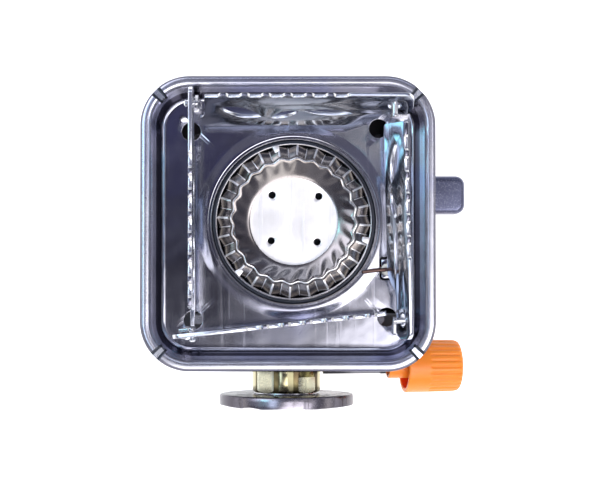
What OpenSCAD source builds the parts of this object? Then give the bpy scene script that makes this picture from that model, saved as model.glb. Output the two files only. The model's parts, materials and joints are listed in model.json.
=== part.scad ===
// Folding single-burner stove for a side-lying butane cassette cartridge.
// Lengths are in millimetres. X is to the knob side, -Y to the cartridge side, Z up.

/* [Body] */
// Outside width and depth of the square tray
body_w = 93; // [90:0.5:96]
// Radius of the tray's outer corners
corner_r = 15.6; // [14:0.1:17]
// Height of the tray's rim above the ground
rim_z = 64; // [63:0.5:65]
// Thickness of the pressed sheet
sheet = 0.6; // [0.5:0.1:0.8]
// Thickness of the base plate
base_t = 0.8; // [0.6:0.1:1.2]
// Depth of the tray floor below its rim
floor_drop = 9; // [8:0.5:9.5]

/* [Burner] */
// Number of flutes round the burner cap
flutes = 24; // [16:2:28]
// Radius of the port ring
ring_r = 24.9; // [24.5:0.1:25.1]
// Radius of the flat middle of the cap
flat_r = 13.9; // [12:0.1:15]

/* [Pot supports] */
// Height of the pot-resting edge above the ground
support_top = 82; // [81:0.5:84]
// Thickness of the support plates
plate_t = 1.2; // [1:0.1:1.4]
// Pitch of the teeth
tooth_pitch = 6.55; // [6.3:0.05:6.8]
// Outward lean of the right support when folded, in degrees
lean_right = 19; // [10:1:22]
// Outward lean of the back support when folded, in degrees
lean_back = 26; // [10:1:28]

/* [Legs] */
// Height of the folding leg plates
leg_h = 13.2; // [12:0.2:13.4]
// Length of each leg from its pin
leg_len = 54; // [46:1:55]

/* [Gas side] */
// Height of the cartridge axis above the ground
axis_z = 36; // [36:0.5:38]
// Outside radius of the cartridge flange
flange_r = 22; // [21:0.5:22]
// Radius of the gas knob
knob_r = 8.7; // [8:0.1:9.2]
// Downward tilt of the knob and its spindle, in degrees
knob_tilt = 9; // [0:1:10]
// Number of grooves round the knob
knob_grooves = 26; // [18:2:30]

/* [Hidden] */
$fn = 48;
eps = 0.01;
half = body_w/2;
cc = half - corner_r;             // corner centre
floor_z = rim_z - floor_drop;     // top of the tray floor
bead_r = 1.8;                     // rim bead
knob_x = 38.1;                    // open end of the knob, on its axis
knob_end = max(57.3, knob_x + 18.4*cos(knob_tilt) + (knob_r - 1.8)*sin(knob_tilt));
front_end = 59.2;
offx = -(knob_end - half)/2;      // brings the middle of the footprint to the origin
offy = (front_end - half)/2;
ax = -0.7;                        // cartridge axis, X
bx = 1.8; by = 0.8;               // burner centre
vy = -46;                         // valve axis, Y
steel = [0.72, 0.72, 0.76];
dark = [0.35, 0.35, 0.38];
// pivot, heading, lean, tip, first tooth, last tooth, length, hole position along the plate
sup_left = [[-29.5, 37.8], -90, 0, 3.2, 17.4, 63.5, 70.0, 1.6];
sup_front = [[-32.3, -34.8], 6.2, 0, 2.6, 20.2, 61.8, 63.4, 3.2];
sup_right = [[35.0, -33.4], 91.4, lean_right, 2.6, 22.4, 63, 64.4, 3.2];
sup_back = [[36.0, 35.0], 180, lean_back, 2.6, 17.6, 60.6, 63.0, 3.2];

// ---- helpers ----
module rsq(h, r) {                // rounded square
  square([2*h - 2*r, 2*h], center = true);
  square([2*h, 2*h - 2*r], center = true);
  for (x = [-1, 1], y = [-1, 1]) translate([x*(h - r), y*(h - r)]) circle(r);
}
module xcyl(r, x0, x1, y, z, f = 48) translate([x0, y, z]) rotate([0, 90, 0]) cylinder(r = r, h = x1 - x0, $fn = f);
module ycyl(r, y0, y1, x, z, f = 48) translate([x, y1, z]) rotate([90, 0, 0]) cylinder(r = r, h = y1 - y0, $fn = f);
module box(x0, x1, y0, y1, z0, z1) translate([x0, y0, z0]) cube([x1 - x0, y1 - y0, z1 - z0]);
module sweep_rim() {              // carries the wall profile round the rounded square
  for (i = [0:3]) rotate([0, 0, 90*i]) {
    translate([cc, cc, 0]) rotate_extrude(angle = 90, $fn = 64) children();
    translate([cc, cc, 0]) rotate([90, 0, 0]) linear_extrude(2*cc) children();
  }
}
module rim_profile() {            // x from the corner centre, y is height
  c = corner_r - bead_r;
  zb = rim_z - bead_r;
  polygon(concat(
    [[corner_r - sheet, rim_z - 12], [corner_r, rim_z - 12]],
    [for (a = [0:15:180]) [c + bead_r*cos(a), zb + bead_r*sin(a)]],
    [[corner_r - 6.4, floor_z], [corner_r - 7.4, floor_z], [corner_r - 7.4, floor_z - sheet], [corner_r - 6 + sheet*0.5, floor_z - sheet]],
    [for (a = [180:-20:0]) [c + (bead_r - sheet)*cos(a), zb + (bead_r - sheet)*sin(a)]]));
}

// ---- tray and casing ----
module tray() color(steel) difference() {
  union() {
    sweep_rim() rim_profile();
    translate([0, 0, floor_z - sheet]) linear_extrude(sheet) rsq(half - 6.9, corner_r - 6.9);
    // raised ring round the burner
    translate([bx, by, floor_z]) rotate_extrude($fn = 96) polygon([[27.2, -eps], [27.9, 0.7], [30.3, 0.7], [31.2, -eps]]);
    // seats for the supports, pressed in the corners
    for (i = [0:3]) rotate([0, 0, 90*i]) translate([cc, cc, 0]) rotate([0, 0, 45])
      box(corner_r - 3.3, corner_r - 0.3, -2.8, 2.8, rim_z - 3.4, rim_z - 1.0);
  }
  for (i = [0:3]) rotate([0, 0, 90*i]) translate([cc, cc, 0]) rotate([0, 0, 45])
    box(corner_r - 6, corner_r + 2, -1.8, 1.8, rim_z - 2.2, rim_z + 2);
  // burner opening
  translate([bx, by, floor_z - 3]) cylinder(r = 23.5, h = 8, $fn = 96);
  // round openings in the floor
  for (p = [[-30.9, 29.6], [28.9, 30.6], [-30.2, -30.6], [31.5, -29.6]])
    translate([p[0], p[1], floor_z - 3]) cylinder(r = 3, h = 6);
  // slot for the electrode
  translate([0, 0, floor_z - 3]) linear_extrude(6) slot_shape(0);
  rivet_bores();
  // bores of the support hooks
  for (s = [sup_left, sup_front, sup_right, sup_back])
    translate([s[0][0], s[0][1], floor_z - 3]) cylinder(r = 1.45, h = 6);
}
module slot_shape(g) translate([32.2, -14.1]) {
  square([6 - 2*g, 7.3 - 2.4], center = true);
  square([6 - 2.4, 7.3 - 2*g], center = true);
  for (x = [-1, 1], y = [-1, 1]) translate([x*1.8, y*2.45]) circle(1.2 - g);
}
module shell_shape(h, y0, r) intersection() {
  rsq(h, r);
  translate([-60, y0]) square([120, 120]);
}
module body_shell() color(dark) difference() {
  translate([0, 0, 14 + base_t]) linear_extrude(rim_z - 6 - 14 - base_t) shell_shape(half - 1.1, -29, corner_r - 1.1);
  translate([0, 0, 14]) linear_extrude(60) shell_shape(half - 1.1 - sheet, -29 + sheet, corner_r - 1.1 - sheet);
  // the front wall stops under the tray floor
  box(-half + 1.1 + sheet, half - 1.1 - sheet, -30, -28, floor_z - sheet - 0.1, rim_z);
  // opening for the igniter button
  box(40, 50, 2.0, 16.6, 36.9, 47.6);
  rivet_bores();
  // opening for the gas outlet
  ycyl(4.5, -32, -24, bx, 38);
  // air openings in the left and back walls
  for (y = [-14, -4, 6, 16]) box(-50, -40, y, y + 4, 24, 40);
  for (x = [-22, -8, 6, 20]) box(x - 2, x + 2, 40, 50, 24, 40);
}
module base_plate() color(dark) difference() {
  union() {
    translate([0, 0, 14]) linear_extrude(base_t) intersection() {
      rsq(half - 1.1, corner_r - 1.1);
      translate([-60, -38]) square([120, 120]);
    }
    // screw bosses that stand inside the casing
    for (x = [-26, 26], y = [-18, 22]) translate([x, y, 14 + base_t - eps]) cylinder(r = 3, h = 6);
  }
  for (x = [-26, 26], y = [-18, 22]) translate([x, y, 13]) cylinder(r = 1.3, h = 10);
  for (x = [-31, 31], y = [-31, 31]) translate([x, y, 13]) cylinder(r = 1.92, h = 4);
  for (x = [-14:7:14]) box(x - 1.6, x + 1.6, -8, 12, 13, 16);
}
module base_screws() color(dark) for (x = [-26, 26], y = [-18, 22]) translate([x, y, 0]) difference() {
  union() {
    translate([0, 0, 12.9]) cylinder(r = 2.3, h = 1.1);
    translate([0, 0, 13.9]) cylinder(r = 1.3, h = 6);
  }
  translate([0, 0, 12.8]) for (a = [0, 90]) rotate([0, 0, a]) cube([2.6, 0.5, 1.2], center = true);
}
rivets = [[-half, 20, 180], [-half, -14, 180], [-12, half, 90], [22, half, 90], [half, -18, 0], [half, 26, 0]];
module at_rivets() for (p = rivets) translate([p[0], p[1], rim_z - 8]) rotate([0, 0, p[2]]) rotate([0, 90, 0]) children();
module rivet_bores() at_rivets() translate([0, 0, -3]) cylinder(r = 1.02, h = 5);
module tray_rivets() color(steel) at_rivets() {
  translate([0, 0, -3]) cylinder(r = 1, h = 2.99);
  translate([0, 0, -3]) cylinder(r = 1.6, h = 3 - 1.1 - sheet - 0.02);
}

// ---- burner ----
module burner_cup() color(steel) translate([bx, by, 0]) rotate_extrude($fn = 96) polygon([
  [6.05, 47.4], [21.9, 47.4], [23.3, 48.8], [23.3, floor_z], [26.6, floor_z], [26.6, floor_z + 0.7], [22.5, floor_z + 0.7],
  [22.5, 49.2], [21.6, 48.2], [6.05, 48.2]]);
module burner_ring() color(steel) translate([bx, by, 0]) {
  rotate_extrude($fn = 96) polygon([
    [21.0, floor_z + 0.7], [ring_r, floor_z + 0.7], [ring_r, floor_z + 3.6], [ring_r - 0.6, floor_z + 3.9],
    [ring_r - 1.1, floor_z + 3.6], [ring_r - 1.1, floor_z + 1.5], [21.0, floor_z + 1.5]]);
  for (a = [103.5, 223, 345.5]) rotate([0, 0, a]) box(22.6, ring_r - 0.4, -0.8, 0.8, floor_z + 3.8, floor_z + 4.3);
}
module burner_cap() color(steel) translate([bx, by, 0]) difference() {
  rotate_extrude($fn = 96) polygon([
    [0, floor_z + 1.6], [flat_r, floor_z + 1.6], [flat_r + 1.5, floor_z + 2.0], [18.6, floor_z + 1.5], [ring_r - 1.3, floor_z + 1.5],
    [ring_r - 1.3, floor_z + 2.6], [20.4, floor_z + 5.1], [19.5, floor_z + 5.4], [18.8, floor_z + 5.1],
    [flat_r + 0.9, floor_z + 2.9], [flat_r, floor_z + 2.6], [0, floor_z + 2.6]]);
  for (i = [0:flutes - 1]) rotate([0, 0, (i + 0.5)*360/flutes])
    translate([18.2, 0, floor_z + 6.9]) rotate([0, 90 + 26, 0]) cylinder(r = 1.45, h = 9, $fn = 24);
  for (p = [[-7.2, 8.1], [7.6, 7.7], [-7.5, -6.4], [7.1, -6.8]]) translate([p[0] + 0.35, p[1] + 0.3, floor_z]) cylinder(r = 1.1, h = 5);
}
module mixing_tube() color(steel) difference() {
  union() {
    ycyl(6, -23, by + 6, bx, 38);
    translate([bx, by, 38]) cylinder(r = 6, h = 10.2);
    translate([bx, by, 46.4]) cylinder(r = 8.5, h = 1);
  }
  ycyl(5.2, -24, by + 5.2, bx, 38);
  translate([bx, by, 38]) cylinder(r = 5.2, h = 12);
  for (x = [-1, 1]) translate([bx, -19, 38]) rotate([0, 90*x, 0]) cylinder(r = 2.2, h = 8);
}

// ---- gas side ----
module gas_jet() color([0.8, 0.65, 0.3]) difference() {
  union() {
    ycyl(2.4, -33, -28, bx, 38);
    ycyl(3.8, -28.5, -25.5, bx, 38, 6);
    ycyl(1.6, -26, -22, bx, 38);
  }
  ycyl(1.0, -34, -23.5, bx, 38, 24);
  ycyl(0.3, -24, -21, bx, 38, 24);
}
module on_valve(l = 0) translate([knob_x, vy, axis_z]) rotate([0, 90 + knob_tilt, 0]) translate([0, 0, l]) children();
ry = -38.4;                       // diaphragm axis, Y
module at_cover_screws() for (a = [45:90:315]) translate([0, ry + 7.85*cos(a), 35 + 7.85*sin(a)]) children();
module regulator_body() color([0.3, 0.3, 0.32]) difference() {
  union() {
    box(-16, 15, -47, -30, 23, 47);
    on_valve(-27) cylinder(r = 2.4, h = 18.8);
  }
  // socket for the inlet nut
  ycyl(4.2, -48, -39, ax, axis_z);
  // valve chamber
  on_valve(-26.5) cylinder(r = 1.25, h = 30);
  on_valve(-9.7) cylinder(r = 1.85, h = 5);
  // diaphragm chamber
  xcyl(7.2, -17, -11, ry, 35);
  // outlet
  ycyl(2.45, -35, -29, bx, 38);
  xcyl(1.2, -12, bx, -33.6, 38);
  // passages from the inlet to the valve and on to the diaphragm
  xcyl(1.1, ax, 12.4, -39.6, 37.6);
  ycyl(0.9, -45.6, -39.6, 12.4, 39.2);
}
module regulator_cover() color([0.4, 0.4, 0.43]) difference() {
  union() {
    xcyl(8.6, -17.6, -16.5, ry, 35);
    xcyl(6.9, -25, -17, ry, 35);
  }
  xcyl(6.2, -24, -16, ry, 35);
  xcyl(1, -26, -23, ry, 35);
  at_cover_screws() xcyl(0.55, -18, -15, 0, 0);
}
module diaphragm() color([0.15, 0.15, 0.16]) difference() {
  xcyl(8.4, -16.5, -16, ry, 35);
  at_cover_screws() xcyl(0.55, -18, -15, 0, 0);
}
module cover_screws() color(steel) at_cover_screws() {
  xcyl(0.75, -18.4, -17.6, 0, 0);
  xcyl(0.5, -17.8, -16.05, 0, 0);
}
module regulator_spring() color(steel) for (i = [0:5]) translate([-23.3 + 1.25*i, ry, 35]) rotate([0, 90, 0])
  if (i < 5) rotate_extrude($fn = 32) translate([4, 0]) { circle(0.45, $fn = 16); translate([0, 0.62]) square([0.5, 1.25], center = true); }
  else rotate_extrude($fn = 32) translate([4, 0]) circle(0.45, $fn = 16);
module gland_nut() color([0.2, 0.2, 0.22]) difference() {
  on_valve(-8.2) cylinder(r = 2.8, h = 1.8, $fn = 6);
  on_valve(-9) cylinder(r = 1.28, h = 4);
}
module spindle_o_ring() color([0.1, 0.1, 0.1]) difference() {
  on_valve(-9.6) cylinder(r = 1.8, h = 1.3);
  on_valve(-10) cylinder(r = 1.28, h = 3);
}
module valve_spindle() color([0.75, 0.65, 0.35]) {
  on_valve(-24) cylinder(r = 1.2, h = 35);
  on_valve(-26) cylinder(r1 = 0.3, r2 = 1.2, h = 2 + eps);
}
module gas_knob() color([1, 0.5, 0.12]) on_valve() difference() {
  rotate_extrude($fn = 96) {
    polygon([[knob_r - 1.3, 0], [knob_r, 0], [knob_r - 0.3, 16.9], [knob_r - 0.7, 17.8], [knob_r - 1.8, 18.4], [0, 18.4], [0, 14], [knob_r - 1.5, 14]]);
    polygon([[1.2, -3.5], [3.1, -3.5], [3.1, -5.5], [4, -5.5], [4, 14.5], [1.2, 14.5]]);
  }
  translate([0, 0, -8]) cylinder(r = 1.2, h = 19);
  for (i = [0:knob_grooves - 1]) rotate([0, 0, i*360/knob_grooves]) translate([knob_r + 0.1, 0, 7.4]) cylinder(r = 0.65, h = 14, $fn = 16);
}
module inlet_nut() color([0.85, 0.78, 0.4]) difference() {
  union() {
    translate([ax, 0, axis_z]) rotate([90, 0, 0]) rotate_extrude($fn = 64) polygon([[0, 47], [10.7, 47], [11.2, 47.4], [11.2, 53.7], [10.4, 54.5], [0, 54.5]]);
    ycyl(4.15, -47.1, -39.2, ax, axis_z);
  }
  ycyl(2.4, -60, -38, ax, axis_z);
  ycyl(5.6, -60, -53, ax, axis_z);
  // spanner flats, the upper right one stopping short of the regulator
  for (a = [129, 231, 309]) translate([ax, 0, axis_z]) rotate([0, -a, 0]) box(10.66, 14, -56, -46, -8, 8);
  translate([ax, 0, axis_z]) rotate([0, -51, 0]) box(10.66, 14, -56, -49.3, -8, 8);
}
module inlet_washer() color(steel) difference() {
  ycyl(10.6, -55, -54.5, ax, axis_z);
  ycyl(5.6, -56, -54, ax, axis_z);
}
module collar_flange() color([0.5, 0.5, 0.54]) difference() {
  union() {
    ycyl(flange_r, -56.2, -55, ax, axis_z);
    difference() {
      ycyl(flange_r, -front_end, -55.5, ax, axis_z);
      ycyl(flange_r - 1.3, -62, -56.2, ax, axis_z);
      // two gaps in the lip and a shallow notch
      for (a = [35, 145]) translate([ax, 0, axis_z]) rotate([0, a, 0]) box(flange_r - 4, flange_r + 3, -62, -57.4, -3.4, 3.4);
      translate([ax, 0, axis_z]) rotate([0, -121, 0]) box(flange_r - 4, flange_r + 3, -62, -58.4, -2.4, 2.4);
    }
  }
  ycyl(5.6, -58, -54, ax, axis_z);
}
module inlet_seal() color([0.1, 0.1, 0.1]) difference() {
  ycyl(5.5, -55.9, -53.1, ax, axis_z);
  ycyl(1.7, -57, -52, ax, axis_z);
}
module actuator_pin() color([0.8, 0.65, 0.3]) {
  ycyl(1.0, -55.4, -41, ax, axis_z);
  ycyl(2.35, -43, -40, ax, axis_z);
}

// ---- igniter ----
module piezo_unit() color([0.15, 0.15, 0.16]) {
  xcyl(4.3, 12, 34.6, 9.95, 42.2);
  xcyl(2.2, 10.5, 12.1, 9.95, 42.2);
}
module igniter_button() color([0.45, 0.46, 0.52]) difference() {
  translate([0, 0, 37.4]) linear_extrude(9.6) {
    translate([40, 3.8]) square([14.3, 12.3]);
    translate([40, 6.8]) square([17.3, 6.3]);
    translate([54.3, 6.8]) circle(3);
    translate([54.3, 13.1]) circle(3);
  }
  // hollow back that clears the igniter's plunger
  box(39, 51, 5.2, 14.7, 38.8, 45.6);
}
module igniter_collar() color([0.7, 0.08, 0.08]) difference() {
  union() {
    box(41, 44.55, 2.2, 17.7, 35.8, 48.7);
    box(44.5, 47.4, 2.2, 3.3, 37.6, 46.8);
  }
  box(40, 46, 3.4, 16.5, 37, 47.5);
}
module ignition_lead() color([0.75, 0.1, 0.1]) {
  xcyl(1.02, 9.2, 10.45, 9.95, 42.2);
  translate([9.2, 9.95, 41.0]) cylinder(r = 1.15, h = 2.4, $fn = 32);
  ycyl(1.02, -4.5, 9.95, 9.2, 42.2);
  translate([9.2, -4.5, 41.0]) cylinder(r = 1.15, h = 2.4, $fn = 32);
  translate([9.2, -4.5, 42.2]) rotate([0, 90, atan2(-9.9, 22.3)]) cylinder(r = 1.02, h = sqrt(9.9*9.9 + 22.3*22.3));
  translate([31.5, -14.4, 41.0]) cylinder(r = 1.15, h = 3.2, $fn = 32);
}
module electrode() color([0.55, 0.3, 0.22]) {
  translate([31.5, -14.4, 44.2]) cylinder(r = 0.6, h = floor_z + 2.3 - 44.2, $fn = 24);
  translate([31.5, -14.4, floor_z + 2.3]) sphere(0.6, $fn = 24);
  translate([31.5, -14.4, floor_z + 2.3]) rotate([0, 90, 180 + atan2(1.0, 8.1)]) cylinder(r = 0.6, h = 8.2, $fn = 24);
}
module electrode_insulator() color([0.9, 0.88, 0.82]) difference() {
  translate([31.5, -14.4, 44.2]) cylinder(r = 1.9, h = floor_z + 1.2 - 44.2);
  translate([31.5, -14.4, 43]) cylinder(r = 0.6, h = 20, $fn = 24);
}
module electrode_bracket() color(steel) difference() {
  union() {
    translate([0, 0, floor_z - sheet]) linear_extrude(sheet) slot_shape(0.55);
    box(30, 34.4, -16.6, -11.6, floor_z - 2.4, floor_z - sheet);
    box(30, 40, -16.6, -11.6, floor_z - 2.4, floor_z - 1.6);
  }
  translate([31.5, -14.4, 40]) cylinder(r = 1.94, h = 20);
}

// ---- pot supports ----
pw = support_top - 65;            // plate height
hw = 6.5;                         // lower edge of the plate at its pivot end
hl = 9.1;                         // height of the lean axis, level with the plate's middle of mass
module leaf(c, l, w, a) translate(c) rotate(a) {
  r = (l*l/4 + w*w/4)/w;
  intersection() {
    translate([0, r - w/2]) circle(r, $fn = 96);
    translate([0, -(r - w/2)]) circle(r, $fn = 96);
  }
}
module plate_shape(s) difference() {
  polygon([[-s[3], 9.5], [-s[3] + 1.6, hw], [9, hw], [12, 5.6], [16.5, 0.9], [18.5, 0], [s[6] - 1.4, 0], [s[6], 1.4], [s[6], 4.6],
    [s[5] + 1.2, 6], [s[5] + 0.8, pw - 1.4], [s[5], pw], [-s[3] + 2, pw], [-s[3], pw - 2.4]]);
  translate([s[7], hw + 5]) circle(2.1);
  // gaps between the teeth, the last one running out over the free end
  for (u = [s[4]:tooth_pitch:s[5] - 1.5]) {
    w = u + 5 > s[5] + 0.8 ? 9 : 3.9;
    translate([u, pw]) polygon([[-0.2, 0.5], [0.3, -0.8], [w - 0.3, -0.8], [w + 0.2, 0.5]]);
  }
  // flame-like openings
  leaf([s[6] - 12.5, 7.6], 13.5, 5.2, 22);
  leaf([s[6] - 26.2, 6.4], 9.5, 3.4, -24);
  leaf([s[6] - 39.6, 7.6], 15, 3.2, 5);
}
module support(s) color(steel) translate([s[0][0], s[0][1], 65 + hl]) rotate([0, 0, s[1]]) rotate([s[2], 0, 0])
  translate([0, plate_t/2, -hl]) rotate([90, 0, 0]) linear_extrude(plate_t) plate_shape(s);
module support_left() support(sup_left);
module support_front() support(sup_front);
module support_right() support(sup_right);
module support_back() support(sup_back);
module hook(s) color(dark) translate([s[0][0], s[0][1], 0]) {
  translate([0, 0, floor_z - 1.8]) cylinder(r = 2.3, h = 0.9);
  translate([0, 0, floor_z - 1.2]) cylinder(r = 1.4, h = 65 + hw - 0.5 - floor_z + 1.2);
  translate([0, 0, floor_z + 0.1]) cylinder(r = 2.1, h = 0.9);
  rotate([0, 0, s[1]]) {
    // ear that carries the plate on its inner face
    ey = 1.05 + s[2]*0.036;
    translate([-1.2, ey, 68.8]) cube([s[7] + 2.4, 1.0, 65 + hw + 6.2 - 68.8]);
    translate([-1.0, 0.2, 68.8]) cube([2.0, ey + 0.4, 2.0]);
    // stub through the hole of the plate
    translate([s[7], ey + 0.5, 65 + hw + 5]) rotate([90, 0, 0]) cylinder(r = 0.9, h = ey + 2.4 + s[2]*0.06);
    translate([s[7], -1.9 - s[2]*0.06, 65 + hw + 5]) sphere(1.25, $fn = 32);
  }
}
module hook_left() hook(sup_left);
module hook_front() hook(sup_front);
module hook_right() hook(sup_right);
module hook_back() hook(sup_back);

// ---- legs ----
module leg_at(i) rotate([0, 0, 90*i]) translate([-31, 31, 0]) color(steel) difference() {
  union() {
    translate([0, 0, 1.4]) cylinder(r = 3.3, h = leg_h - 1.4);
    translate([-3.3, 0, 0]) mirror([0, 1, 0]) rotate([90, 0, 0]) rotate([0, 90, 0]) linear_extrude(1.2)
      polygon([[-1, 1.4], [6, 1.4], [9, 0], [leg_len - 4, 0], [leg_len, 3], [leg_len, leg_h - 2.4], [leg_len - 2, leg_h], [-1, leg_h]]);
  }
  translate([0, 0, -1]) cylinder(r = 1.95, h = 20);
  translate([-5, -30, 6.6]) rotate([0, 90, 0]) cylinder(r = 2.6, h = 5);
  translate([-5, -42, 6.6]) rotate([0, 90, 0]) cylinder(r = 2, h = 5);
}
module leg_1() leg_at(0);
module leg_2() leg_at(1);
module leg_3() leg_at(2);
module leg_4() leg_at(3);
module leg_pin_at(i) rotate([0, 0, 90*i]) translate([-31, 31, 0]) color(dark) {
  translate([0, 0, 0.7]) cylinder(r = 1.9, h = 15.5);
  translate([0, 0, 0.3]) cylinder(r = 2.9, h = 0.8);
}
module leg_pin_1() leg_pin_at(0);
module leg_pin_2() leg_pin_at(1);
module leg_pin_3() leg_pin_at(2);
module leg_pin_4() leg_pin_at(3);
module leg_washers() color(steel) for (i = [0:3]) rotate([0, 0, 90*i]) translate([-31, 31, 13.4]) difference() {
  cylinder(r = 3.2, h = 0.6);
  translate([0, 0, -1]) cylinder(r = 1.9, h = 3);
}

translate([offx, offy, 0]) {
  tray();
  body_shell();
  base_plate();
  burner_cup();
  burner_ring();
  burner_cap();
  mixing_tube();
  gas_jet();
  regulator_body();
  regulator_cover();
  diaphragm();
  regulator_spring();
  gland_nut();
  spindle_o_ring();
  valve_spindle();
  gas_knob();
  inlet_nut();
  inlet_washer();
  collar_flange();
  inlet_seal();
  actuator_pin();
  piezo_unit();
  igniter_button();
  igniter_collar();
  ignition_lead();
  electrode();
  electrode_insulator();
  electrode_bracket();
  support_left();
  support_front();
  support_right();
  support_back();
  hook_left();
  hook_front();
  hook_right();
  hook_back();
  leg_1();
  leg_2();
  leg_3();
  leg_4();
  leg_pin_1();
  leg_pin_2();
  leg_pin_3();
  leg_pin_4();
  base_screws();
  cover_screws();
  tray_rivets();
  leg_washers();
}
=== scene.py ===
import json
import math
from math import cos, sin, pi, radians, sqrt, atan2

import bmesh
import bpy
from mathutils import Matrix, Vector, noise


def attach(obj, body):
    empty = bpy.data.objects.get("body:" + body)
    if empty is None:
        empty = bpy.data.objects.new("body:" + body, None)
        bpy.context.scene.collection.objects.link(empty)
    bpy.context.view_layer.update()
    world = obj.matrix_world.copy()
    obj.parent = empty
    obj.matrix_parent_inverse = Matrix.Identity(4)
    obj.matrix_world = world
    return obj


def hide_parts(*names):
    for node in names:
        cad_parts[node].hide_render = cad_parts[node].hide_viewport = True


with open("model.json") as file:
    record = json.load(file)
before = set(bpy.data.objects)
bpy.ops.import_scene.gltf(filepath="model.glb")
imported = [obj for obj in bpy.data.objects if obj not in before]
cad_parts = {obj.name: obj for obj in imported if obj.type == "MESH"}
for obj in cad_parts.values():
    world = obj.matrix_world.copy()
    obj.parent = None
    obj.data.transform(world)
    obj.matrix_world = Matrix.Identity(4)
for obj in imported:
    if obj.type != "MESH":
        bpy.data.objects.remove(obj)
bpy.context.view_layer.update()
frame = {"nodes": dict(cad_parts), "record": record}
NODE = frame["nodes"]
OX, OY = -5.42643, 6.35       # the working frame's shift to the row frame, mm
RIM, FLOOR, TOP = 64.0, 55.0, 82.0
BX, BY = 1.8, 0.8             # burner centre
AX, AZ = -0.7, 36.0           # cartridge axis
VY = -46.0                    # valve axis
KX, TILT = 38.1, radians(9)   # open end of the knob and the tilt of its axis


def P(x, y, z):
    """working millimetres to row metres"""
    return Vector(((x + OX) / 1000, (y + OY) / 1000, z / 1000))


# ------------------------------------------------------------------ materials
def _nodes(name):
    m = bpy.data.materials.new(name)
    m.use_nodes = True
    nt = m.node_tree
    return m, nt, nt.nodes["Principled BSDF"]


class N:
    """small helper that wires shader nodes"""

    def __init__(self, nt):
        self.nt = nt
        self.obj = nt.nodes.new("ShaderNodeTexCoord").outputs["Object"]

    def link(self, a, b):
        self.nt.links.new(a, b)

    def mapping(self, scale=(1, 1, 1), rot=(0, 0, 0), loc=(0, 0, 0), src=None):
        n = self.nt.nodes.new("ShaderNodeMapping")
        n.inputs["Scale"].default_value = scale
        n.inputs["Rotation"].default_value = rot
        n.inputs["Location"].default_value = loc
        self.link(src or self.obj, n.inputs["Vector"])
        return n.outputs["Vector"]

    def noise(self, vec, scale, detail=3, rough=0.5, dist=0.0):
        n = self.nt.nodes.new("ShaderNodeTexNoise")
        n.inputs["Scale"].default_value = scale
        n.inputs["Detail"].default_value = detail
        n.inputs["Roughness"].default_value = rough
        n.inputs["Distortion"].default_value = dist
        self.link(vec, n.inputs["Vector"])
        return n.outputs["Fac"]

    def ramp(self, fac, stops, interp="LINEAR"):
        n = self.nt.nodes.new("ShaderNodeValToRGB")
        cr = n.color_ramp
        cr.interpolation = interp
        while len(cr.elements) < len(stops):
            cr.elements.new(0.5)
        for e, (p, c) in zip(cr.elements, stops):
            e.position = p
            e.color = c if len(c) == 4 else (*c, 1)
        self.link(fac, n.inputs["Fac"])
        return n.outputs["Color"]

    def range(self, fac, a, b, c, d):
        n = self.nt.nodes.new("ShaderNodeMapRange")
        for k, v in zip(("From Min", "From Max", "To Min", "To Max"), (a, b, c, d)):
            n.inputs[k].default_value = v
        self.link(fac, n.inputs["Value"])
        return n.outputs["Result"]

    def math(self, op, a, b=0.5, c=None):
        n = self.nt.nodes.new("ShaderNodeMath")
        n.operation = op
        for i, v in enumerate((a, b) if c is None else (a, b, c)):
            if isinstance(v, (int, float)):
                n.inputs[i].default_value = v
            else:
                self.link(v, n.inputs[i])
        return n.outputs[0]

    def mix(self, fac, a, b, kind="MIX"):
        n = self.nt.nodes.new("ShaderNodeMix")
        n.data_type = "RGBA"
        n.blend_type = kind
        for s, v in ((n.inputs[0], fac), (n.inputs[6], a), (n.inputs[7], b)):
            if isinstance(v, (int, float)):
                s.default_value = v
            elif isinstance(v, (tuple, list)):
                s.default_value = v if len(v) == 4 else (*v, 1)
            else:
                self.link(v, s)
        return n.outputs[2]

    def bump(self, height, strength, dist, prev=None):
        n = self.nt.nodes.new("ShaderNodeBump")
        n.inputs["Strength"].default_value = strength
        n.inputs["Distance"].default_value = dist
        self.link(height, n.inputs["Height"])
        if prev is not None:
            self.link(prev, n.inputs["Normal"])
        return n.outputs["Normal"]


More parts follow.
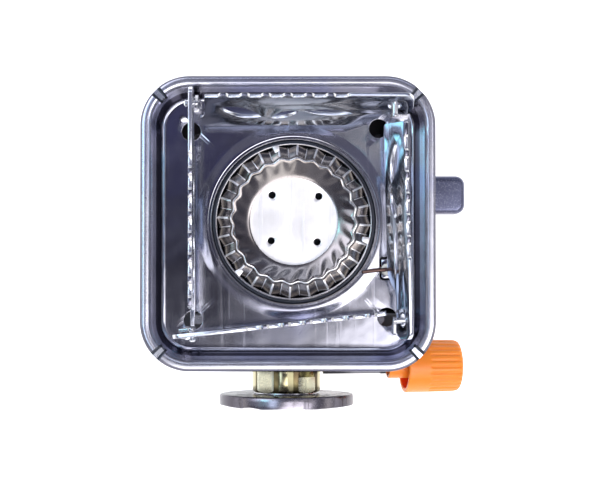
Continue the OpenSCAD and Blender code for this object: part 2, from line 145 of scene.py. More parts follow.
def metal(name, base, rough=0.25, spread=0.08, brush=None, brush_bump=0.02, scratches=0.25, tint=None, dirt=0.0,
          dirt_col=(0.06, 0.05, 0.045), wave=0.0, painted_wall_shade=None, steep_at=(0.80, 0.42), steep_z=None, inside=None, dirt_scale=130, pebble=0.06):
    """pressed or turned metal: smudged roughness, brush lines, fine scratches, faint heat tint and dirt, with
    optional painted shade on walls and on upward faces
    """
    m, nt, bsdf = _nodes(name)
    n = N(nt)
    smudge = n.noise(n.mapping(), 90, 5, 0.6, 0.6)
    fine = n.noise(n.mapping(), 900, 3, 0.6)
    col = n.mix(n.range(smudge, 0.3, 0.7, 0, 1), tuple(c * 0.90 for c in base), tuple(min(1, c * 1.06) for c in base))
    if tint:
        big = n.noise(n.mapping(loc=(0.3, 0.1, 0.7)), 28, 3, 0.5, 1.0)
        col = n.mix(n.range(big, 0.45, 0.72, 0, 0.55), col, tint)
    r = n.range(smudge, 0.25, 0.75, rough - spread, rough + spread)
    normal = None
    if brush:
        lines = n.noise(n.mapping(scale=brush), 1.0, 4, 0.7)
        amp = 0.35 if brush_bump < 0.003 else 1.0
        r = n.math("ADD", r, n.range(lines, 0.3, 0.7, -0.03 * amp, 0.04 * amp))
        col = n.mix(n.range(lines, 0.35, 0.7, 0, 0.14 * amp), col, tuple(c * 0.62 for c in base))
        normal = n.bump(lines, brush_bump * 10, 0.00004)
    if scratches:
        acc = None
        for k, (rot, sc) in enumerate((((0.3, 0.2, 0.5), (260, 9, 260)), ((0.1, 0.4, 2.1), (300, 11, 300)), ((1.2, 0.3, 1.1), (240, 8, 240)))):
            s = n.noise(n.mapping(scale=sc, rot=rot, loc=(k * 3.1, k, 0)), 1.6, 2, 0.4, 0.2)
            s = n.range(s, 0.66, 0.70, 0, 1)
            acc = s if acc is None else n.math("MAXIMUM", acc, s)
        r = n.math("ADD", r, n.math("MULTIPLY", acc, 0.18 * scratches))
        normal = n.bump(acc, 0.25 * scratches, 0.00003, normal)
    if wave:
        w = n.noise(n.mapping(loc=(1.7, 4.1, 0.2)), 60, 2, 0.5)
        normal = n.bump(w, 1.0, wave, normal)
    if dirt:
        d = n.noise(n.mapping(loc=(5, 2, 1)), dirt_scale, 6, 0.7, 0.4)
        d = n.range(d, 0.55, 0.75, 0, dirt)
        col = n.mix(d, col, dirt_col)
        r = n.math("ADD", r, n.math("MULTIPLY", d, 0.35))
    if painted_wall_shade:                                 # painted shade: faces darken as they tilt away from upright, standing in for the dark room that the walls reflect
        g = nt.nodes.new("ShaderNodeNewGeometry")
        sp = nt.nodes.new("ShaderNodeSeparateXYZ")
        n.link(g.outputs["Normal"], sp.inputs[0])
        fac = n.range(n.math("ABSOLUTE", sp.outputs["Z"]), *steep_at, 0, 0.95)
        if steep_z:
            pos = nt.nodes.new("ShaderNodeSeparateXYZ")
            n.link(n.obj, pos.inputs[0])
            fac = n.math("MULTIPLY", fac, n.range(pos.outputs["Z"], *steep_z, 0.35, 1.0))
        col = n.mix(fac, col, painted_wall_shade)
    if inside:                                # painted shade: faces turned upwards are darkened, so the casing seen through the tray's holes reads dark
        g = nt.nodes.new("ShaderNodeNewGeometry")
        sp = nt.nodes.new("ShaderNodeSeparateXYZ")
        n.link(g.outputs["Normal"], sp.inputs[0])
        col = n.mix(n.range(sp.outputs["Z"], 0.45, 0.8, 0, 0.92), col, inside)
    normal = n.bump(fine, min(pebble, 0.02) if brush and brush_bump < 0.003 else pebble, 0.00003, normal)
    n.link(col, bsdf.inputs["Base Color"])
    n.link(r, bsdf.inputs["Roughness"])
    n.link(normal, bsdf.inputs["Normal"])
    bsdf.inputs["Metallic"].default_value = 1.0
    return m


def plastic(name, base, rough=0.4, grain=0.00004, grain_scale=1400, shade=0.12, metallic=0.0, spec=0.5, flow=0.0, sss=0.0, fleck=0.0):
    """moulded plastic or rubber with grain, soft tone change and flow marks"""
    m, nt, bsdf = _nodes(name)
    n = N(nt)
    big = n.noise(n.mapping(), 70, 4, 0.55, 0.5)
    fine = n.noise(n.mapping(), grain_scale, 4, 0.6)
    col = n.mix(n.range(big, 0.3, 0.7, 0, 1), tuple(c * (1 - shade) for c in base), tuple(min(1, c * (1 + shade * 0.6)) for c in base))
    if flow:
        f = n.noise(n.mapping(scale=(30, 420, 420)), 1, 3, 0.6)
        col = n.mix(n.range(f, 0.45, 0.75, 0, flow), col, tuple(c * 0.6 for c in base))
    if fleck:
        f = n.noise(n.mapping(), 2600, 2, 0.5)
        col = n.mix(n.range(f, 0.55, 0.75, 0, fleck), col, (0.6, 0.65, 0.75, 1))
    n.link(col, bsdf.inputs["Base Color"])
    n.link(n.range(fine, 0.3, 0.7, rough - 0.06, rough + 0.08), bsdf.inputs["Roughness"])
    n.link(n.bump(fine, 0.5, grain), bsdf.inputs["Normal"])
    bsdf.inputs["Metallic"].default_value = metallic
    bsdf.inputs["Specular IOR Level"].default_value = spec
    if sss:
        bsdf.inputs["Subsurface Weight"].default_value = sss
        bsdf.inputs["Subsurface Radius"].default_value = (0.004, 0.0015, 0.0005)
        bsdf.inputs["Subsurface Scale"].default_value = 0.3
    return m


MAT = {
    # the tray steel darkens its walls by the face normal: painted shade
    "tray_steel": metal("tray_steel", (0.44, 0.44, 0.50), 0.11, 0.025, brush=(2600, 60, 2600), brush_bump=0.0015, scratches=0.2,
                        tint=(0.34, 0.36, 0.56, 1), wave=0.00009, painted_wall_shade=(0.046, 0.042, 0.068), steep_z=(0.0605, 0.0583)),
    # the casing's upward faces are painted near black: painted shade
    "casing_steel": metal("casing_steel", (0.42, 0.42, 0.45), 0.34, 0.06, brush=(900, 900, 40), scratches=0.5, dirt=0.15, inside=(0.03, 0.03, 0.035)),
    # the cap's slope and pleats are painted dark and its centre disc near white: painted shade and painted highlight
    # on one pressed sheet
    "slope_steel": metal("slope_steel", (0.255, 0.238, 0.238), 0.19, 0.05, scratches=0.3, tint=(0.20, 0.16, 0.14, 1)),
    "burner_steel": metal("burner_steel", (0.245, 0.222, 0.212), 0.19, 0.05, scratches=0.3, tint=(0.20, 0.15, 0.125, 1)),
    "ring_steel": metal("ring_steel", (0.44, 0.43, 0.45), 0.20, 0.05, scratches=0.3),
    "disc_steel": metal("disc_steel", (0.82, 0.80, 0.815), 0.38, 0.06, brush=(1800, 90, 1800), brush_bump=0.01, scratches=1.5),
    "brass": metal("brass", (0.80, 0.60, 0.26), 0.28, 0.06, scratches=0.3, dirt=0.2),
    "casting": metal("casting", (0.22, 0.22, 0.24), 0.55, 0.08, scratches=0.2, dirt=0.3, wave=0.0001),
    "rubber": plastic("rubber", (0.025, 0.025, 0.027), 0.65),
    "spring_steel": metal("spring_steel", (0.62, 0.62, 0.66), 0.22, 0.05, scratches=0.3),
    "blackened": metal("blackened", (0.07, 0.07, 0.08), 0.40, 0.06, scratches=0.4),
    "orange_plastic": plastic("orange_plastic", (1.0, 0.27, 0.018), 0.36, shade=0.03, flow=0.05, sss=0.25),
    # a deeper red copy of the orange plastic for the knob's inner walls: painted shade
    "orange_inner_shade": plastic("orange_inner_shade", (0.90, 0.085, 0.012), 0.40, shade=0.10, sss=0.2),
    "yellow_zinc": metal("yellow_zinc", (0.50, 0.45, 0.27), 0.19, 0.06, brush=(500, 2200, 500), scratches=1.6, tint=(0.50, 0.52, 0.26, 1), dirt=0.45,
                         dirt_col=(0.14, 0.10, 0.05), wave=0.0001),
    # dark zinc for the bands beside the nut's flats: painted shade
    "zinc_shade_band": metal("zinc_shade_band", (0.13, 0.11, 0.055), 0.30, 0.08, scratches=0.6, tint=(0.12, 0.05, 0.04, 1)),
    "zinc_olive": metal("zinc_olive", (0.26, 0.23, 0.10), 0.26, 0.08, scratches=0.8, dirt=0.4),
    # pale zinc for the nut's flats: painted highlight
    "zinc_flat_highlight": metal("zinc_flat_highlight", (0.97, 0.94, 0.74), 0.27, 0.08, brush=(500, 2200, 500), scratches=1.4, tint=(0.78, 0.80, 0.52, 1), dirt=0.14,
                         dirt_col=(0.22, 0.18, 0.10)),
    # the two bead steels are lighter copies of the tray steel, for a broader, brighter bead: painted highlight; the
    # outer one also darkens its walls: painted shade
    "bead_steel": metal("bead_steel", (0.52, 0.52, 0.59), 0.24, 0.02, scratches=0.0,
                        tint=(0.40, 0.42, 0.62, 1), wave=0.00008, painted_wall_shade=(0.040, 0.034, 0.068), steep_at=(0.86, 0.66), pebble=0.01),
    "bead_inner": metal("bead_inner", (0.50, 0.50, 0.57), 0.24, 0.02, scratches=0.0, pebble=0.01, tint=(0.40, 0.42, 0.62, 1), wave=0.00008),
    "skirt_steel": metal("skirt_steel", (0.46, 0.46, 0.52), 0.20, 0.05, brush=(60, 60, 1800), brush_bump=0.002, scratches=0.12, tint=(0.40, 0.42, 0.56, 1), wave=0.0001),
    # the flange steel darkens its sides by the face normal: painted shade
    "flange_steel": metal("flange_steel", (0.30, 0.28, 0.325), 0.25, 0.07, painted_wall_shade=(0.075, 0.066, 0.078), steep_at=(0.82, 0.62), brush=(300, 2500, 2500), scratches=1.6, dirt=0.55, dirt_scale=150, dirt_col=(0.06, 0.05, 0.05), wave=0.0002),
    "black_plastic": plastic("black_plastic", (0.022, 0.022, 0.025), 0.45),
    "button_metal": plastic("button_metal", (0.095, 0.10, 0.165), 0.33, metallic=0.75, shade=0.25, fleck=0.35),
    "red_plastic": plastic("red_plastic", (0.42, 0.02, 0.045), 0.25),
    "lead_sleeve": plastic("lead_sleeve", (0.36, 0.02, 0.02), 0.5),
    "electrode_wire": metal("electrode_wire", (0.17, 0.10, 0.09), 0.40, 0.08, scratches=0.2, tint=(0.08, 0.06, 0.07, 1)),
    "ceramic": plastic("ceramic", (0.82, 0.80, 0.74), 0.5, grain_scale=900),
    "plate_steel": metal("plate_steel", (0.40, 0.42, 0.475), 0.13, 0.03, scratches=0.3,
                         tint=(0.29, 0.36, 0.44, 1), wave=0.00003),
    # pale steel on the plates' edges and the tray's notch bottoms: painted highlight
    "pale_edge_highlight": metal("pale_edge_highlight", (0.74, 0.76, 0.84), 0.20, 0.05, scratches=0.3),
    # dark steel on the tops of the teeth: painted shade
    "tooth_top_shade": metal("tooth_top_shade", (0.20, 0.20, 0.25), 0.22, 0.05, scratches=0.3),
    # white lines on the cap's folds, the tooth flanks and the flange's lip: painted highlight
    "white_edge_highlight": metal("white_edge_highlight", (0.88, 0.87, 0.88), 0.34, 0.05, scratches=0.3),
    "hook_steel": metal("hook_steel", (0.46, 0.46, 0.50), 0.24, 0.06, scratches=0.4),
    # near-black steel in grooves, bores and notch sides: painted shade
    "gap_shade": metal("gap_shade", (0.05, 0.055, 0.07), 0.45, 0.08, scratches=0.2),
}
SLOT_OF = {s["node"]: s["material_slot"] for s in frame["record"]["subparts"]}
for name, ob in NODE.items():
    ob.data.materials.clear()
    ob.data.materials.append(MAT[SLOT_OF[name]])
    ob.data.shade_smooth()
    ob.data.set_sharp_from_angle(angle=radians(28))


# ------------------------------------------------------------------ mesh tools
def build(name, verts, faces, mats, body="housing", rep=(), sharp=32, fmat=None):
    """a mesh piece from working-frame millimetres"""
    me = bpy.data.meshes.new(name)
    me.from_pydata([P(*v) for v in verts], [], faces)
    for m in mats if isinstance(mats, (list, tuple)) else [mats]:
        me.materials.append(m)
    if fmat is not None:
        me.polygons.foreach_set("material_index", fmat)
    ob = bpy.data.objects.new(name, me)
    bpy.context.scene.collection.objects.link(ob)
    tidy(ob, sharp)
    if body:
        settle(ob, body, rep)
    return ob


def tidy(ob, sharp=32, merge=0.0):
    bm = bmesh.new()
    bm.from_mesh(ob.data)
    if merge:
        bmesh.ops.remove_doubles(bm, verts=bm.verts, dist=merge)
        bmesh.ops.dissolve_degenerate(bm, edges=bm.edges, dist=1e-7)
    bmesh.ops.recalc_face_normals(bm, faces=bm.faces)
    bm.to_mesh(ob.data)
    bm.free()
    ob.data.shade_smooth()
    ob.data.set_sharp_from_angle(angle=radians(sharp))


def settle(ob, body, rep=()):
    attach(ob, body)
    if rep:
        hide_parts(*([rep] if isinstance(rep, str) else rep))
    return ob


def bake_mods(ob):
    bpy.context.view_layer.update()
    dg = bpy.context.evaluated_depsgraph_get()
    me = bpy.data.meshes.new_from_object(ob.evaluated_get(dg), depsgraph=dg)
    ob.modifiers.clear()
    old = ob.data
    ob.data = me
    bpy.data.meshes.remove(old)


def even_normals(ob):
    m = ob.modifiers.new("even", "WEIGHTED_NORMAL")
    m.mode = "FACE_AREA"
    m.weight = 60
    m.keep_sharp = True
    bake_mods(ob)


def drop(*obs):
    for o in obs:
        me = o.data
        bpy.data.objects.remove(o)
        if me.users == 0:
            bpy.data.meshes.remove(me)


def cut(ob, cutters, op="DIFFERENCE"):
    for c in cutters:
        m = ob.modifiers.new("cut", "BOOLEAN")
        m.operation = op
        m.solver = "EXACT"
        m.object = c
    bake_mods(ob)
    drop(*cutters)


def grid_faces(rings, n, closed_loop=False):
    """quads between rings of n vertices each; closed_loop joins the last ring to the first"""
    f = []
    for i in range(rings if closed_loop else rings - 1):
        a, b = i * n, ((i + 1) % rings) * n
        for j in range(n):
            k = (j + 1) % n
            f.append((a + j, a + k, b + k, b + j))
    return f


def lathe_v(prof, n, frame_of):
    """rings of a closed profile [(r, h)], placed by frame_of(r, angle, h)"""
    return [frame_of(r, 2 * pi * j / n, h) for r, h in prof for j in range(n)]


def lathe(name, prof, n, place, mats, body="housing", rep=(), sharp=32, mat_of=None):
    """closed solid of revolution; a profile point on the axis becomes one vertex"""
    verts, ids = [], []
    for r, h in prof:
        if r < 1e-6:
            ids.append([len(verts)] * n)
            verts.append(place(0, 0, h))
        else:
            ids.append(list(range(len(verts), len(verts) + n)))
            verts += [place(r, 2 * pi * j / n, h) for j in range(n)]
    faces, fm = [], []
    m = len(prof)
    for i in range(m):
        a, b = ids[i], ids[(i + 1) % m]
        if a[0] == a[1] and b[0] == b[1]:
            continue
        for j in range(n):
            k = (j + 1) % n
            q = []
            for v in (a[j], a[k], b[k], b[j]):
                if v not in q:
                    q.append(v)
            if len(q) > 2:
                faces.append(q)
                fm.append(mat_of(i) if mat_of else 0)
    return build(name, verts, faces, mats, body, rep, sharp, fm if mat_of else None)


def up_axis(cx, cy):
    return lambda r, a, h: (cx + r * cos(a), cy + r * sin(a), h)


def front_axis(cx, cz):
    """axis along Y: h is the Y value"""
    return lambda r, a, h: (cx + r * cos(a), h, cz + r * sin(a))


def valve_axis(r, a, h):
    """tilted axis of the knob: h is measured from its open end"""
    x, y, z = r * cos(a), r * sin(a), h
    return (KX + z * cos(TILT) + x * sin(TILT), VY + y, AZ - z * sin(TILT) + x * cos(TILT))


def cutter(prof, n, place):
    return lathe("cutter", prof, n, place, [], body=None)


def block(name, x0, x1, y0, y1, z0, z1, bev, mats, body=None, rep=(), seg=2, sharp=40, at=None, segs_long=1):
    v = [(x, y, z) for x in (x0, x1) for y in (y0, y1) for z in (z0, z1)]
    f = [(0, 1, 3, 2), (4, 6, 7, 5), (0, 4, 5, 1), (2, 3, 7, 6), (0, 2, 6, 4), (1, 5, 7, 3)]
    ob = build(name, v if at is None else [at(*p) for p in v], f, mats, None)
    bm = bmesh.new()
    bm.from_mesh(ob.data)
    if bev:
        bmesh.ops.bevel(bm, geom=list(bm.edges), offset=bev / 1000, segments=seg, profile=0.5, affect="EDGES")
    bm.to_mesh(ob.data)
    bm.free()
    tidy(ob, sharp)
    if body:
        settle(ob, body, rep)
    return ob


def tube(name, pts, radii, n, mats, body="housing", rep=(), sharp=50, cap=True):
    """round bar along points, radius per point"""
    pts = [Vector(p) for p in pts]
    verts, up = [], None
    for i, p in enumerate(pts):
        t = (pts[min(i + 1, len(pts) - 1)] - pts[max(i - 1, 0)]).normalized()
        if up is None:
            up = t.orthogonal().normalized()
        up = (up - t * up.dot(t)).normalized()
        w = t.cross(up)
        r = radii[i] if isinstance(radii, (list, tuple)) else radii
        verts += [tuple(p + (up * cos(2 * pi * j / n) + w * sin(2 * pi * j / n)) * r) for j in range(n)]
    faces = grid_faces(len(pts), n)
    if cap:
        faces += [tuple(range(n))[::-1], tuple(range((len(pts) - 1) * n, len(pts) * n))]
    return build(name, verts, faces, mats, body, rep, sharp)


def outline_solid(name, loops, thick, place, bev, mats, body="housing", rep=(), sharp=35):
    """flat plate from closed 2-D loops (the first is the outside), thickness centred on zero, with rounded edges"""
    cu = bpy.data.curves.new(name, "CURVE")
    cu.dimensions = "2D"
    cu.fill_mode = "BOTH"
    cu.extrude = (thick / 2 - bev)
    cu.bevel_depth = bev
    cu.bevel_resolution = 2
    cu.offset = -bev
    for lp in loops:
        sp = cu.splines.new("POLY")
        sp.points.add(len(lp) - 1)
        for q, (u, w) in zip(sp.points, lp):
            q.co = (u, w, 0, 1)
        sp.use_cyclic_u = True
    tmp = bpy.data.objects.new(name + "_curve", cu)
    bpy.context.scene.collection.objects.link(tmp)
    bpy.context.view_layer.update()
    me = bpy.data.meshes.new_from_object(tmp.evaluated_get(bpy.context.evaluated_depsgraph_get()))
    verts = [place(v.co.x, v.co.y, v.co.z) for v in me.vertices]
    faces = [tuple(p.vertices) for p in me.polygons]
    bpy.data.objects.remove(tmp)
    bpy.data.curves.remove(cu)
    bpy.data.meshes.remove(me)
    ob = build(name, verts, faces, mats, None)
    tidy(ob, sharp, 1e-7)
    return settle(ob, body, rep) if body else ob


def sstep(x):
    x = max(0.0, min(1.0, x))
    return x * x * (3 - 2 * x)


# ------------------------------------------------------------------ tray
CC, RC = 30.9, 15.6


def path_columns():
    """(corner index or None, side position or angle) round the rounded square, anticlockwise from the +X side"""
    base = [0, 3, 6, 9, 12, 15, 18, 21, 24, 27, 30, 32.5, 34.5, 36, 37.2, 37.7, 38.0, 38.3, 38.6, 38.9, 39.2, 39.5, 39.7, 40.6, 42, 43.5]
    angs = base + [45] + [90 - a for a in reversed(base)]
    cols = []
    nside = 30
    for k in range(4):
        for a in angs:
            cols.append((k, "a", a))
        for i in range(1, nside):
            cols.append((k, "s", i / nside))
    return cols


COLS = path_columns()


def path_point(col, o):
    """plan position at inward offset o from the outer edge"""
    k, kind, t = col
    rho = RC - o
    if kind == "a":
        a = radians(t)
        x, y = CC + rho * cos(a), CC + rho * sin(a)
    else:
        x, y = CC - 2 * CC * t, CC + rho
    for _ in range(k):
        x, y = -y, x
    return x, y


def notch_w(col):
    if col[1] != "a":
        return 0.0
    return 1 - sstep((abs(col[2] - 45) - 5.4) / 1.6)


def arc(cx, cz, r, a0, a1, n):
    return [(cx + r * cos(radians(a0 + (a1 - a0) * i / n)), cz + r * sin(radians(a0 + (a1 - a0) * i / n))) for i in range(n + 1)]


def make_tray():
    n = len(COLS)
    zb, rb, th = 62.2, 1.8, 0.6
    # outer face, from the skirt over the bead and down to the floor, as (offset inwards, height)
    top = [(0, 52.0), (0, 53.0), (0, 55.0), (0, 58.0), (0, 60.4)]
    for i in range(41):                       # the bead is a little flattened on top
        a = pi * i / 40
        top.append((rb - math.copysign(abs(cos(a)) ** 0.77, cos(a)) * rb, zb + rb * abs(sin(a)) ** 0.77))
    top += [(4.15, 60.8), (4.75, 59.25), (5.35, 57.7), (5.75, 56.65), (5.98, 56.05), (6.16, 55.66), (6.38, 55.34), (6.68, 55.13), (7.05, 55.03),
            (7.5, 55.0), (8.6, 55.0), (10.2, 55.0)]
    low = [(10.2, 54.4), (7.6, 54.4), (6.7, 54.45), (6.0, 54.8), (5.55, 55.5), (5.0, 56.9), (4.2, 59.2), (3.2, 61.8)]
    low = low[:-1] + [(3.2, 61.6)] + [(1.8 - x, z) for x, z in arc(0, zb, rb - th, 180, 0, 12)] + [(0.6, 60.0), (0.6, 56.0), (0.6, 52.0)]
    # rings round the burner: radius and height
    flat_r = [33.4, 32.4]
    ring = [(31.2, 0.0), (30.9, 0.03), (30.5, 0.10), (30.0, 0.22), (29.5, 0.36), (29.0, 0.50), (28.6, 0.60), (28.2, 0.67), (27.9, 0.70), (27.5, 0.70), (27.3, 0.66),
            (27.18, 0.52), (27.12, 0.2), (27.1, 0.0), (25.2, 0.0), (23.5, 0.0)]
    up = [("p", o, z, 1) for o, z in top] + [("c", r, 55.0, 1) for r in flat_r] + [("c", r, 55 + h * 0.28, 1) for r, h in ring]
    dn = [("c", r, 54.4 + h * 0.28, 0) for r, h in reversed(ring)] + [("c", r, 54.4, 0) for r in reversed(flat_r)] + [("p", o, z, 0) for o, z in low]
    verts = []
    for kind, q, z, is_top in up + dn:
        zn = 61.75 if is_top else 61.15
        for c in COLS:
            if kind == "p":
                x, y = path_point(c, q)
                w = notch_w(c)
                zz = z - max(0.0, z - zn) * w
            else:
                x, y = path_point(c, 10.2)
                d = Vector((x - BX, y - BY)).normalized()
                x, y, zz = BX + q * d.x, BY + q * d.y, z
            verts.append((x, y, zz))
    faces = grid_faces(len(up) + len(dn), n, True)
    fm = []
    for f in faces:
        i, j, k = f[0] // n, f[0] % n, f[1] % n
        kind, q, z, is_top = (up + dn)[i]
        w0, w1 = notch_w(COLS[j]), notch_w(COLS[k])
        hit = kind == "p" and is_top and z > 61.7
        mid = COLS[j][1] == "a" and abs(COLS[j][2] - 45) < 3.6 and abs(COLS[k][2] - 45) < 3.6
        bead = kind == "p" and is_top and z > 60.3
        skirt = kind == "p" and q < 0.75 and z < 61.9 and not (is_top and 0.01 < q)
        # in the corner notches the bottom is painted pale and the sides dark: painted highlight and painted shade
        fm.append((4 if skirt else 5 if bead and q > 1.75 else 3 if bead else 0) if not hit or max(w0, w1) < 0.02 else 1 if min(w0, w1) > 0.97 and mid else 2)
    ob = build("pressed_tray", verts, faces, [MAT["tray_steel"], MAT["pale_edge_highlight"], MAT["gap_shade"], MAT["bead_steel"], MAT["skirt_steel"], MAT["bead_inner"]], None, sharp=40, fmat=fm)
    cutters = []
    for x, y in ((-30.9, 29.6), (28.9, 30.6), (-30.2, -30.6), (31.5, -29.6)):
        cutters.append(cutter([(0, 53.5), (2.98, 53.5), (2.98, 54.82), (3.05, 54.94), (3.22, 55.02), (3.22, 56.5), (0, 56.5)], 48, up_axis(x, y)))
    for s in SUPPORTS.values():
        cutters.append(cutter([(0, 53.5), (1.5, 53.5), (1.5, 56.5), (0, 56.5)], 24, up_axis(*s["p"])))
    for x, y, a in ((-46.5, 20, 180), (-46.5, -14, 180), (-12, 46.5, 90), (22, 46.5, 90), (46.5, -18, 0), (46.5, 26, 0)):
        ca, sa = cos(radians(a)), sin(radians(a))
        cutters.append(cutter([(0, -0.9), (1.02, -0.9), (1.02, 0.5), (0, 0.5)], 20,
                              lambda r, t, h, x=x, y=y, ca=ca, sa=sa: (x + h * ca - r * cos(t) * sa, y + h * sa + r * cos(t) * ca, 56 + r * sin(t))))
    # electrode slot, a rounded rectangle with a small lead-in
    cutters.append(prism("cutter", rrect(32.2, -14.1, 6.0, 7.3, 1.2), [(53.5, 0), (54.8, 0), (54.93, 0.05), (55.02, 0.17), (56.8, 0.17)]))
    cut(ob, cutters)
    tidy(ob, 40, 2e-6)
    even_normals(ob)
    settle(ob, "housing", "tray")
    return ob


def rrect(cx, cy, w, h, r, n=6):
    pts = []
    for k, (sx, sy) in enumerate(((1, 1), (-1, 1), (-1, -1), (1, -1))):
        for i in range(n + 1):
            a = radians(90 * k + 90 * i / n)
            pts.append((cx + sx * (w / 2 - r) + r * cos(a), cy + sy * (h / 2 - r) + r * sin(a)))
    return pts


def grow(loop, d):
    """moves an anticlockwise loop outwards by d"""
    out = []
    m = len(loop)
    for i in range(m):
        a, b, c = Vector(loop[i - 1]), Vector(loop[i]), Vector(loop[(i + 1) % m])
        e1, e2 = (b - a).normalized(), (c - b).normalized()
        nn = Vector((e1.y + e2.y, -e1.x - e2.x))
        nn.normalize()
        k = max(0.5, nn.dot(Vector((e1.y, -e1.x))))
        out.append((b.x + nn.x * d / k, b.y + nn.y * d / k))
    return out


def prism(name, loop, levels, mats=(), body=None, rep=(), sharp=35, place=lambda x, y, z: (x, y, z)):
    """closed prism of an anticlockwise loop through (height, growth) levels"""
    verts = []
    for z, d in levels:
        verts += [place(x, y, z) for x, y in (grow(loop, d) if d else loop)]
    n = len(loop)
    faces = grid_faces(len(levels), n) + [tuple(range(n))[::-1], tuple(range((len(levels) - 1) * n, len(levels) * n))]
    return build(name, verts, faces, list(mats), body, rep, sharp)


# pot supports: pivot, heading, lean, tip, first and last tooth, length, hole position
SUPPORTS = {
    "left": dict(p=(-29.5, 37.8), h=-90, lean=0, tip=3.2, t0=17.4, t1=63.5, L=70.0, hole=1.6),
    "front": dict(p=(-32.3, -34.8), h=6.2, lean=0, tip=2.6, t0=20.2, t1=61.8, L=63.4, hole=3.2),
    "right": dict(p=(35.0, -33.4), h=91.4, lean=19, tip=2.6, t0=22.4, t1=63, L=64.4, hole=3.2),
    "back": dict(p=(36.0, 35.0), h=180, lean=26, tip=2.6, t0=17.6, t1=60.6, L=63.0, hole=3.2),
}
PW, HW, HL = 17.0, 6.5, 9.1


def leaf(c, l, w, a, n=14):
    r = (l * l / 4 + w * w / 4) / w
    half = math.asin(min(1, l / 2 / r))
    pts = []
    for sgn in (1, -1):
        for i in range(n + 1):
            if i in (0,) and sgn == -1:
                continue
            if i == n and sgn == -1:
                continue
            t = -half + 2 * half * i / n if sgn == 1 else half - 2 * half * i / n
            x, y = r * sin(t), sgn * (r * cos(t) - (r - w / 2))
            pts.append((x, y))
    ca, sa = cos(radians(a)), sin(radians(a))
    return [(c[0] + x * ca - y * sa, c[1] + x * sa + y * ca) for x, y in pts]


def circle2(c, r, n=28):
    return [(c[0] + r * cos(2 * pi * i / n), c[1] + r * sin(2 * pi * i / n)) for i in range(n)]


def make_support(name, s):
    L, tip, t0, t1 = s["L"], s["tip"], s["t0"], s["t1"]
    dep = 0.8
    us = []
    u = t0
    while u <= t1 - 1.5 + 1e-6:
        us.append(u)
        u += 6.55
    out = [(-tip, 9.5), (-tip + 0.35, 8.5), (-tip + 1.0, HW + 0.25), (-tip + 1.7, HW), (9, HW), (10.6, 6.3), (12, 5.6), (14.2, 3.2), (16.5, 0.9), (17.4, 0.25), (18.5, 0),
           (L - 1.4, 0), (L - 0.55, 0.25), (L - 0.1, 0.9), (L, 1.6), (L, 4.2), (L - 0.3, 4.75), (t1 + 1.5, 5.8), (t1 + 1.15, 6.3), (t1 + 0.8, PW - 1.9)]
    last = us[-1] + 5 > t1 + 0.8
    if last:                                   # the last gap runs out over the free end
        out += [(t1 + 0.6, PW - dep - 0.2), (t1 + 0.3, PW - dep)]
    else:
        out += [(t1 + 0.8, PW - 1.4), (t1 + 0.5, PW - 0.4), (t1 + 0.1, PW)]
    for k, u in enumerate(reversed(us)):
        w = 3.9
        if not (k == 0 and last):
            out += [(u + w + 0.95, PW - 0.02), (u + w + 0.5, PW - 0.08), (u + w + 0.2, PW - 0.24), (u + w - 0.02, PW - 0.50), (u + w - 0.22, PW - 0.72), (u + w - 0.45, PW - dep)]
        out += [(u + 0.45, PW - dep), (u + 0.22, PW - 0.72), (u + 0.02, PW - 0.50), (u - 0.2, PW - 0.24), (u - 0.5, PW - 0.08), (u - 0.95, PW - 0.02)]
    out += [(-tip + 2.2, PW), (-tip + 1.3, PW - 0.35), (-tip + 0.5, PW - 1.2), (-tip + 0.1, PW - 2.1), (-tip, PW - 3)]
    clean = []
    for q in out:
        if not clean or (Vector(q) - Vector(clean[-1])).length > 0.03:
            clean.append(q)
    loops = [clean, circle2((s["hole"], HW + 5), 2.1),
             leaf((L - 12.5, 7.6), 13.5, 5.2, 22), leaf((L - 26.2, 6.4), 9.5, 3.4, -24), leaf((L - 39.6, 7.6), 15, 3.2, 5)]
    ln, hd = radians(s["lean"]), radians(s["h"])
    px, py = s["p"]

    def place(u, w, e):
        y, z = -e, w - HL
        y, z = y * cos(ln) - z * sin(ln), y * sin(ln) + z * cos(ln)
        return (px + u * cos(hd) - y * sin(hd), py + u * sin(hd) + y * cos(hd), 65 + HL + z)

    ob = outline_solid("toothed_support_" + name, loops, 1.2, place, 0.13, [MAT["plate_steel"], MAT["pale_edge_highlight"], MAT["tooth_top_shade"], MAT["white_edge_highlight"]], None, sharp=50)
    org = P(*place(0, 0, 0))
    face, along, upw = [(P(*place(*q)) - org).normalized() for q in ((0, 0, 1), (1, 0, 0), (0, 1, 0))]
    idx = []
    # on the plates the edges are painted pale, the tooth flanks white and the tooth tops dark: painted highlight and
    # painted shade
    for q in ob.data.polygons:
        flat = abs(q.normal.dot(face)) > 0.85
        d = q.center - org
        u, w = d.dot(along) * 1000, d.dot(upw) * 1000
        teeth = t0 - 0.3 < u < t1 + 0.2 and w > PW - 1.0
        tilt = abs(q.normal.dot(along))
        idx.append(0 if flat else 1 if not teeth else 3 if 0.45 < tilt else 2 if w > PW - 0.45 else 1)
    ob.data.polygons.foreach_set("material_index", idx)
    return settle(ob, f"support_{name}_set", "support_" + name)


